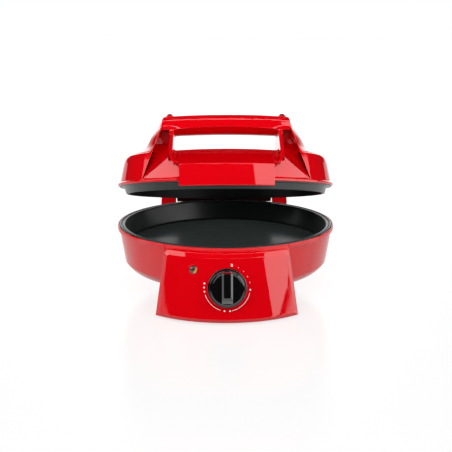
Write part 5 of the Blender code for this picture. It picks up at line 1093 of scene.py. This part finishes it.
def window(name, columns=32):
    """The opening for the fingers: an arched sill below, and the grip's hollow underside above."""
    rings = []
    grip_back = front_at(HANDLE_H) + HANDLE_DEPTH
    for k in range(columns + 1):
        x = WINDOW_HALF * sin(pi / 2 * (2 * k / columns - 1))
        bow = 1 - (x / WINDOW_HALF) ** 2
        into = max(0.0, (abs(x) - WINDOW_HALF + WINDOW_CORNER) / WINDOW_CORNER)
        corner = WINDOW_CORNER * (1 - sqrt(max(0.0, 1 - into ** 2)))
        top = WINDOW_TOP + 0.002 * bow - corner
        lip = WINDOW_TOP + 0.0075 + 0.004 * bow - corner
        sill_height = sill(x) - ROLL_DROP + corner
        ring = [
            (x, WINDOW_FRONT, sill_height), (x, WINDOW_REAR, sill_height),
            (x, WINDOW_REAR, top + 0.0075), (x, grip_back - 0.004, top + 0.0016),
        ]
        for depth, rise in GRIP_UNDERSIDE:
            ring.append((x, grip_back - HANDLE_DEPTH * depth, top + (lip - top) * rise))
        rings.append(at_lid(ring + [(x, WINDOW_FRONT, lip)]))
    return skinned(name, rings)


CHEEKS = [                      # share of the apron's reach, share of the handle's height, and bend inwards
    (0.530, 0.810, 0.0), (0.590, 0.700, 0.0), (0.720, 0.545, 0.0), (0.820, 0.418, 0.04), (0.880, 0.345, 0.25),
    (0.915, 0.300, 0.60), (0.927, 0.272, 0.95),
]


def cheek(name, side, grow=0.0):
    """Web beside the window, from the grip down to the tongue's corner, where it bends inwards."""
    near, far, corner = WINDOW_HALF, WINDOW_HALF + CHEEK, APRON_HALF + CHEEK / 2
    skin_low = APRON_WALL + FIT + LID_WALL / 2 + SADDLE_DROP
    root = -TONGUE_BACK + LID_WALL / 2
    table = smooth_table(CHEEKS, 24)
    rings = []
    for k, (reach, high, bend) in enumerate(table):
        bend = min(max(bend, 0.0), 1.0)
        front, height = -APRON_R * reach, HANDLE_H * high
        back = root + (front - root) * 0.9 * k / (len(table) - 1)
        inside = near + (corner - near) * bend - grow
        outside = far + (corner + CHEEK * 0.8 - far) * bend + grow
        low = band_at(back, skin_low)
        rings.append(on_side(side, [
            (inside, front - grow, height + grow), (outside, front - grow, height + grow),
            (outside, back, low), (inside, back, low),
        ]))
    return skinned(name, rings)


def trough(name, low, high):
    """The hollow in the grip that its cap closes."""
    half = HANDLE_HALF - 0.006
    front, back = front_at(TROUGH_FLOOR) + GRIP_ROUND, front_at(HANDLE_H) + HANDLE_DEPTH - 0.006
    return slab(name, *at_lid([(-half, front, low), (half, back, high)]))


print("cutters ready")

# %% [markdown]
# Now the lid is put together: drum and bridge joined, the cutters taken away, the cheeks added, and the
# hollow removed from below. The seams stay sharp in the mesh, and the bevel node in the red finish softens
# their shading, as the mould's radii do on the fins, the cheeks and the window.

# %% Lid shell
seat = FIT + WALL + FIT
plate_room = P_FLANGE + FIT
rim = rounded([
    (LID_FOOT_R, FOOT_H), (LID_FOOT_R + 0.0006, BEAD_HIGH + 0.0018, 0.0012), (LID_R, BEAD_HIGH, 0.0012),
    (LID_R, BEAD_LOW, 0.0010), (plate_room, BEAD_LOW), (0.10, BEAD_LOW),
], 4)
lid = turned_on_lid("lid_shell_moulded", lid_side(0) + rim[1:] + [(0, BEAD_LOW)])
join(lid, bridge_form("bridge", BRIDGE[0][0], SPLIT))
for side in (-1, 1):
    cut(lid, trim("trim", side), pocket("pocket", side))
saddle_low, saddle_half = APRON_WALL + FIT + SADDLE_DROP, WINDOW_HALF + CHEEK + FIT
cut(lid, saddle("saddle", saddle_low, saddle_half), window("window"))
join(lid, cheek("left_cheek", -1), cheek("right_cheek", 1))
print("lid outside:", len(lid.data.polygons), "faces")
cut(lid, trough("trough", TROUGH_FLOOR, HANDLE_H))
hollow = turned_on_lid("lid_hollow", lid_side(LID_WALL) + [
    (LID_FOOT_R - LID_WALL, seat + LID_WALL / 2), (plate_room, seat), (plate_room, -0.01), (0, -0.01),
])
for side in (-1, 1):
    cut(hollow, trim("trim_wall", side, LID_WALL, LID_WALL))
    cut(hollow, pocket("pocket_wall", side, LID_WALL, LID_WALL, LID_WALL))
wall_low = APRON_WALL + FIT + LID_WALL + SADDLE_DROP
cut(hollow, saddle("saddle_wall", wall_low, saddle_half + LID_WALL, LID_WALL))
join(hollow, turned_on_lid("plate_seat", [(0, seat), (plate_room, seat), (plate_room, -0.01), (0, -0.01)]))
cut(lid, hollow)
near, front = WINDOW_HALF + CHEEK, POCKET_LEAN - POCKET_BACK + LID_WALL
for side in (-1, 1):
    rings = []
    for height, out in ((SHOULDER - LID_WALL * 3, 1.20), (HANDLE_H * 0.78, 1.02)):
        outer, back = HANDLE_HALF * out, back_at(height, LID_WALL * 2)
        rings.append(on_side(side, [
            (near, front, height), (outer, front, height), (outer, back, height), (near, back, height),
        ]))
    cut(lid, skinned("leg_hollow", rings))
print("lid with its hollows:", len(lid.data.polygons), "faces")
hand_over(lid, LID, "lid", RED, ["lid_shell"], sharp=28)

# %% [markdown]
# The grip is closed by a cap of its own. It carries two small conical bosses with rubber tips, on which
# the open lid comes to rest. They are also the two little bumps on the handle in the picture.

# %% Handle cap and its feet
BOSS_SIDE, BOSS_TOP = 0.080, HANDLE_H + 0.0028
TIP_FOOT, TIP_TOP = HANDLE_H + 0.0031, HANDLE_H + 0.0046
cap = bridge_form("handle_cap_moulded", SPLIT, 1.0, lift=FIT)
cut(cap, trough("cap_hollow", TROUGH_FLOOR, HANDLE_H * SPLIT + 0.0015))
middle = front_at(HANDLE_H) + HANDLE_DEPTH / 2
for side, hand in ((-1, "left"), (1, "right")):
    spot = Matrix.Translation(at_lid([(side * BOSS_SIDE, middle, 0)])[0])
    boss = turned("cap_boss", [(0, HANDLE_H)] + rounded([
        (0.001, HANDLE_H), (0.0064, HANDLE_H), (0.0056, HANDLE_H + 0.0018, 0.001), (0.0046, BOSS_TOP, 0.0006),
        (0.001, BOSS_TOP),
    ], 4) + [(0, BOSS_TOP)], steps=64)
    boss.data.transform(spot)
    join(cap, boss)
    tip = turned(f"handle_foot_{hand}_rubber", [(0, TIP_FOOT)] + rounded([
        (0.001, TIP_FOOT), (0.0034, TIP_FOOT), (0.0034, HANDLE_H + 0.0040, 0.0004), (0.0027, TIP_TOP, 0.0005),
        (0.001, TIP_TOP),
    ], 4) + [(0, TIP_TOP)], steps=56)
    tip.data.transform(spot)
    hand_over(tip, LID, "lid", RUBBER, [f"handle_foot_{hand}"])
hand_over(cap, LID, "lid", RED, ["handle_cap"], sharp=28)

# %% [markdown]
# The tongue is a separate red piece in front of the window: a band that slopes down from the window's
# sill, and a curved apron that hangs from its front edge over the rims of both plates.

# %% Front tongue
back = -TONGUE_BACK - FIT
rings = []
for k in range(41):
    x = APRON_HALF * (2 * k / 40 - 1)
    front = apron_front(x)
    shelf = front + APRON_WALL
    ring = [(back - ROLL * k / 8, tongue_top(x, back - ROLL * k / 8)) for k in range(9)] + rounded([
        (back - ROLL * 1.2, tongue_top(x, back - ROLL * 1.2)),
        (front + 0.0004, tongue_top(x, front + 0.0004), 0.0024),
        (front, APRON_BOTTOM, 0.0010), (shelf, APRON_BOTTOM, 0.0008),
        (shelf, tongue_top(x, shelf) - APRON_WALL, 0.0006), (back, tongue_top(x, back) - APRON_WALL * 0.6),
    ], 5)
    rings.append(at_lid([(x, y, z) for y, z in ring]))
tongue = skinned("front_tongue_moulded", rings)
wing_front, flange_in = -LID_FOOT_R * 0.91, APRON_HALF - APRON_WALL
front, flange_low = apron_front(flange_in) + APRON_WALL / 2, APRON_BOTTOM + APRON_WALL / 2
rim_y = -sqrt((BEAD + FIT * 2) ** 2 - APRON_HALF ** 2) - FIT
foot_y = -sqrt((LID_FOOT_R + FIT * 4) ** 2 - APRON_HALF ** 2)
flange = [
    (front, APRON_TOP - APRON_WALL), (front, flange_low), (rim_y, flange_low), (rim_y, BEAD_HIGH + APRON_WALL),
    (foot_y, FOOT_H + APRON_WALL), (foot_y + APRON_WALL / 2, APRON_TOP - APRON_WALL / 2),
]
for side in (-1, 1):
    rings = []
    for x in (flange_in, APRON_HALF, WINDOW_HALF - FIT):
        upper = [(y, tongue_top(x, y) - FIT) for y in (back - FIT, back - ROLL * 0.5, back - ROLL, wing_front)]
        lower = [(wing_front, upper[-1][1] - 0.002), (back - FIT, upper[0][1] - 0.001)]
        rings.append(on_side(side, [(x, y, z) for y, z in upper + lower]))
    join(tongue, skinned("wing", rings))
    ends = [on_side(side, [(x, y, z) for y, z in flange]) for x in (flange_in, APRON_HALF - FIT)]
    join(tongue, skinned("flange", ends))
    cut(tongue, cheek("cheek_seat", side, grow=FIT))
hand_over(tongue, LID, "lid", RED, ["front_tongue"], sharp=30)

# %% [markdown]
# The hinge arm is a black barrel between the ears with a web that runs forward to the lid's wall. It is
# dark, and only a strip of it shows between the two plates. Its outline is pushed sideways like the
# housing's, and the lid's own drum is cut from it, so that the two meet with a small gap.

# %% Hinge arm
ARM_GAP, BARREL_R, PIN_LENGTH = 0.0012, 0.0118, 0.046
arm_half = inner - ARM_GAP
web_front = -(HINGE_SETBACK - sqrt(LID_TOP_R ** 2 - arm_half ** 2))
turns = [-3 * pi / 4 + 5 * pi / 4 * k / 30 for k in range(31)]
outline = [(BARREL_R * cos(a), BARREL_R * sin(a)) for a in turns]
outline += [(web_front, 0.0178), (web_front, BEAD_HIGH), (BEAD - HINGE_SETBACK + 0.003, 0.0006)]
arm = skinned("hinge_arm_moulded", [[(x, y, z) for y, z in outline] for x in (-arm_half, arm_half)])
eased(arm, 1.0, 3)
cut(arm, turned_on_lid("drum_seat", lid_side(-FIT) + [
    (LID_R + FIT, BEAD_HIGH + FIT), (LID_R + FIT, -0.01), (0, -0.01),
]))
for side in (-1, 1):
    near, far = side * (arm_half + 0.01), side * (HALF_BACK - EAR_FACE - PIN_LENGTH - ARM_GAP)
    cut(arm, rod("arm_bore", BORE_R, (near, 0, 0), (far, 0, 0)))
hand_over(arm, LID, "lid", SATIN_BLACK, ["hinge_arm"], sharp=30)

# %% [markdown]
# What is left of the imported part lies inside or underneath: sheets, screws, clips, heaters, ceramic
# bodies and leads. Their shapes are right as they are, so they only get the finish that each is made of.

# %% Finishes for the pieces that stay as packed
NOT_STEEL = {
    "housing_cover": SATIN_BLACK, "thermostat": CERAMIC, "indicator_lamp": CERAMIC, "terminal_block": CERAMIC,
    "thermal_fuse": CERAMIC, "lower_heating_element": HEATER, "upper_heating_element": HEATER,
    "element_lead_left": SLEEVE, "element_lead_right": SLEEVE,
}
as_packed = {name: node for name, node in cad_nodes.items() if not node.hide_render}
for name, node in as_packed.items():
    coat(node.data, NOT_STEEL.get(name, ZINC))
print("kept as packed:", sorted(as_packed))

# %% [markdown]
# The stage is a photographer's table: a pale floor in a white room. Gloss plastic shows the room more than
# it shows its own colour. So the camera sees the world as white, while reflections find it dark, but for a
# bright part behind the object that lines its round edges. The floor is grey with a glow of its own, which
# lifts it to nearly white and leaves it the object's shadow. Diffuse rays get none of that glow, so it
# doesn't light the object from below.

# %% Floor and world
FLOOR_LIFT, FLOOR_HALF, AMBIENT = 0.68, 6, 0.10


def table_laminate():
    material, tree = blank_finish("table_white_laminate")
    place = add(tree, "ShaderNodeTexCoord").outputs["Object"]
    grain = add(tree, "ShaderNodeTexNoise", Vector=place, Scale=per(40), Detail=2.0)
    gloss = add(tree, "ShaderNodeMapRange", Value=grain.outputs["Fac"], n3=0.16, n4=0.20)
    ray = add(tree, "ShaderNodeLightPath").outputs
    lift = add(tree, "ShaderNodeMath", {"operation": "MULTIPLY_ADD"},
               n0=ray["Is Diffuse Ray"], n1=-FLOOR_LIFT, n2=FLOOR_LIFT)
    shader = add(
        tree, "ShaderNodeBsdfPrincipled", Base_Color=linear("#9C9C9C"), Roughness=gloss.outputs["Result"],
        Specular_IOR_Level=0.10, Emission_Color=(1, 1, 1, 1), Emission_Strength=lift.outputs[0],
    )
    add(tree, "ShaderNodeOutputMaterial", Surface=shader.outputs["BSDF"])
    return material


def set_up(name, builder, finish):
    """A mesh in bmesh form becomes a part of the stage, with its finish."""
    mesh = bpy.data.meshes.new(name)
    builder.to_mesh(mesh)
    builder.free()
    mesh.materials.append(finish)
    prop = bpy.data.objects.new(name, mesh)
    bpy.context.scene.collection.objects.link(prop)
    return prop


bm = bmesh.new()
corners = ((-1, -1), (1, -1), (1, 1), (-1, 1))
bm.faces.new([bm.verts.new((FLOOR_HALF * x, FLOOR_HALF * y, 0)) for x, y in corners])
set_up("table_top", bm, table_laminate())

world = bpy.data.worlds.new("studio")
bpy.context.scene.world = world
world.use_nodes = True
tree = world.node_tree
tree.nodes.clear()
ray = add(tree, "ShaderNodeLightPath").outputs
direction = add(tree, "ShaderNodeTexCoord").outputs["Generated"]
split = add(tree, "ShaderNodeSeparateXYZ", Vector=direction).outputs
behind = add(tree, "ShaderNodeMapRange", {"interpolation_type": "SMOOTHSTEP"}, Value=split["Y"],
             n1=0.90, n2=0.96, n3=0.02, n4=1.6)
seen = add(tree, "ShaderNodeMath", {"operation": "MAXIMUM"},
           n0=ray["Is Camera Ray"], n1=ray["Is Transmission Ray"])
mirrored = add(tree, "ShaderNodeMath", {"operation": "MULTIPLY"},
               n0=ray["Is Glossy Ray"], n1=behind.outputs["Result"])
bright = add(tree, "ShaderNodeMath", {"operation": "ADD"}, n0=seen.outputs[0], n1=mirrored.outputs[0])
ambient = add(tree, "ShaderNodeMath", {"operation": "MULTIPLY"}, n0=ray["Is Diffuse Ray"], n1=AMBIENT)
shade = add(tree, "ShaderNodeMath", {"operation": "ADD"}, n0=bright.outputs[0], n1=ambient.outputs[0])
sky = add(tree, "ShaderNodeBackground", Color=(1, 1, 1, 1), Strength=shade.outputs[0])
add(tree, "ShaderNodeOutputWorld", Surface=sky.outputs[0])
print("stage is up")

# %% [markdown]
# Each light is a glowing cloth. Its corners are directions, each a bearing to the right of straight ahead
# and a height in degrees, because the cloth's edges are what draw the borders between red and pink: on
# the right part of the apron and the panel, and on the lid's two shields. The lights that make the
# reflections and those that light the body evenly are kept apart, as polarising sheets do in a studio, so
# that each can be set on its own. The camera sees none of them.

# %% Lights
def toward(bearing, height):
    b, h = radians(bearing), radians(height)
    return Vector((sin(b) * cos(h), -cos(b) * cos(h), sin(h)))


def glowing_cloth(name, corners, reach, radiance, even=False):
    """A cloth stretched between directions. It serves either the reflections or the even light."""
    subject = Vector((0, PAN_Y - 0.1, 0.10))
    bm = bmesh.new()
    middle = bm.verts.new(subject + sum((toward(*c) for c in corners), Vector()) / len(corners) * reach)
    ring = [bm.verts.new(subject + toward(*c) * reach) for c in corners]
    for first, second in zip(ring, ring[1:] + ring[:1]):
        bm.faces.new((middle, first, second))
    bmesh.ops.recalc_face_normals(bm, faces=bm.faces)
    material, tree = blank_finish(name + "_cloth")
    glow = add(tree, "ShaderNodeEmission", Color=(1, 1, 1, 1), Strength=radiance)
    add(tree, "ShaderNodeOutputMaterial", Surface=glow.outputs[0])
    cloth = set_up(name, bm, material)
    cloth.visible_camera = cloth.visible_shadow = cloth.visible_transmission = False
    cloth.visible_glossy, cloth.visible_diffuse = not even, even


for name, corners, reach, radiance in (
    ("right_softbox", [(49, -1), (24.5, 25), (36, 42), (100, 42), (112, -1)], 2.6, 2.9),
    ("left_softbox", [(-104, 2), (-50, 23), (-54, 44), (-104, 44)], 2.6, 3.1),
    ("front_top_light", [(-58, 43), (-58, 52), (58, 52), (58, 43)], 2.0, 5.0),
    ("left_low_light", [(-26, 26), (-26, 37), (-4.5, 37), (-4.5, 26)], 2.4, 2.4),
    ("right_low_light", [(26, 26), (26, 37), (4.5, 37), (4.5, 26)], 2.4, 2.8),
):
    glowing_cloth(name, corners, reach, radiance)
for name, corners, reach, radiance in (
    ("even_front", [(-60, 7), (-60, 37), (60, 37), (60, 7)], 2.2, 2.62),
    ("even_left", [(-112, 0), (-112, 30), (-66, 30), (-66, 0)], 2.2, 2.1),
    ("even_right", [(112, 0), (112, 30), (66, 30), (66, 0)], 2.2, 1.8),
    ("even_top", [(-70, 60), (-70, 82), (70, 82), (70, 60)], 2.0, 2.6),
):
    glowing_cloth(name, corners, reach, radiance, even=True)
print("lights are up")

# %% Sizes and the end
print("pieces:", len(finished), "triangles:", sum(triangles(piece) for piece in finished))
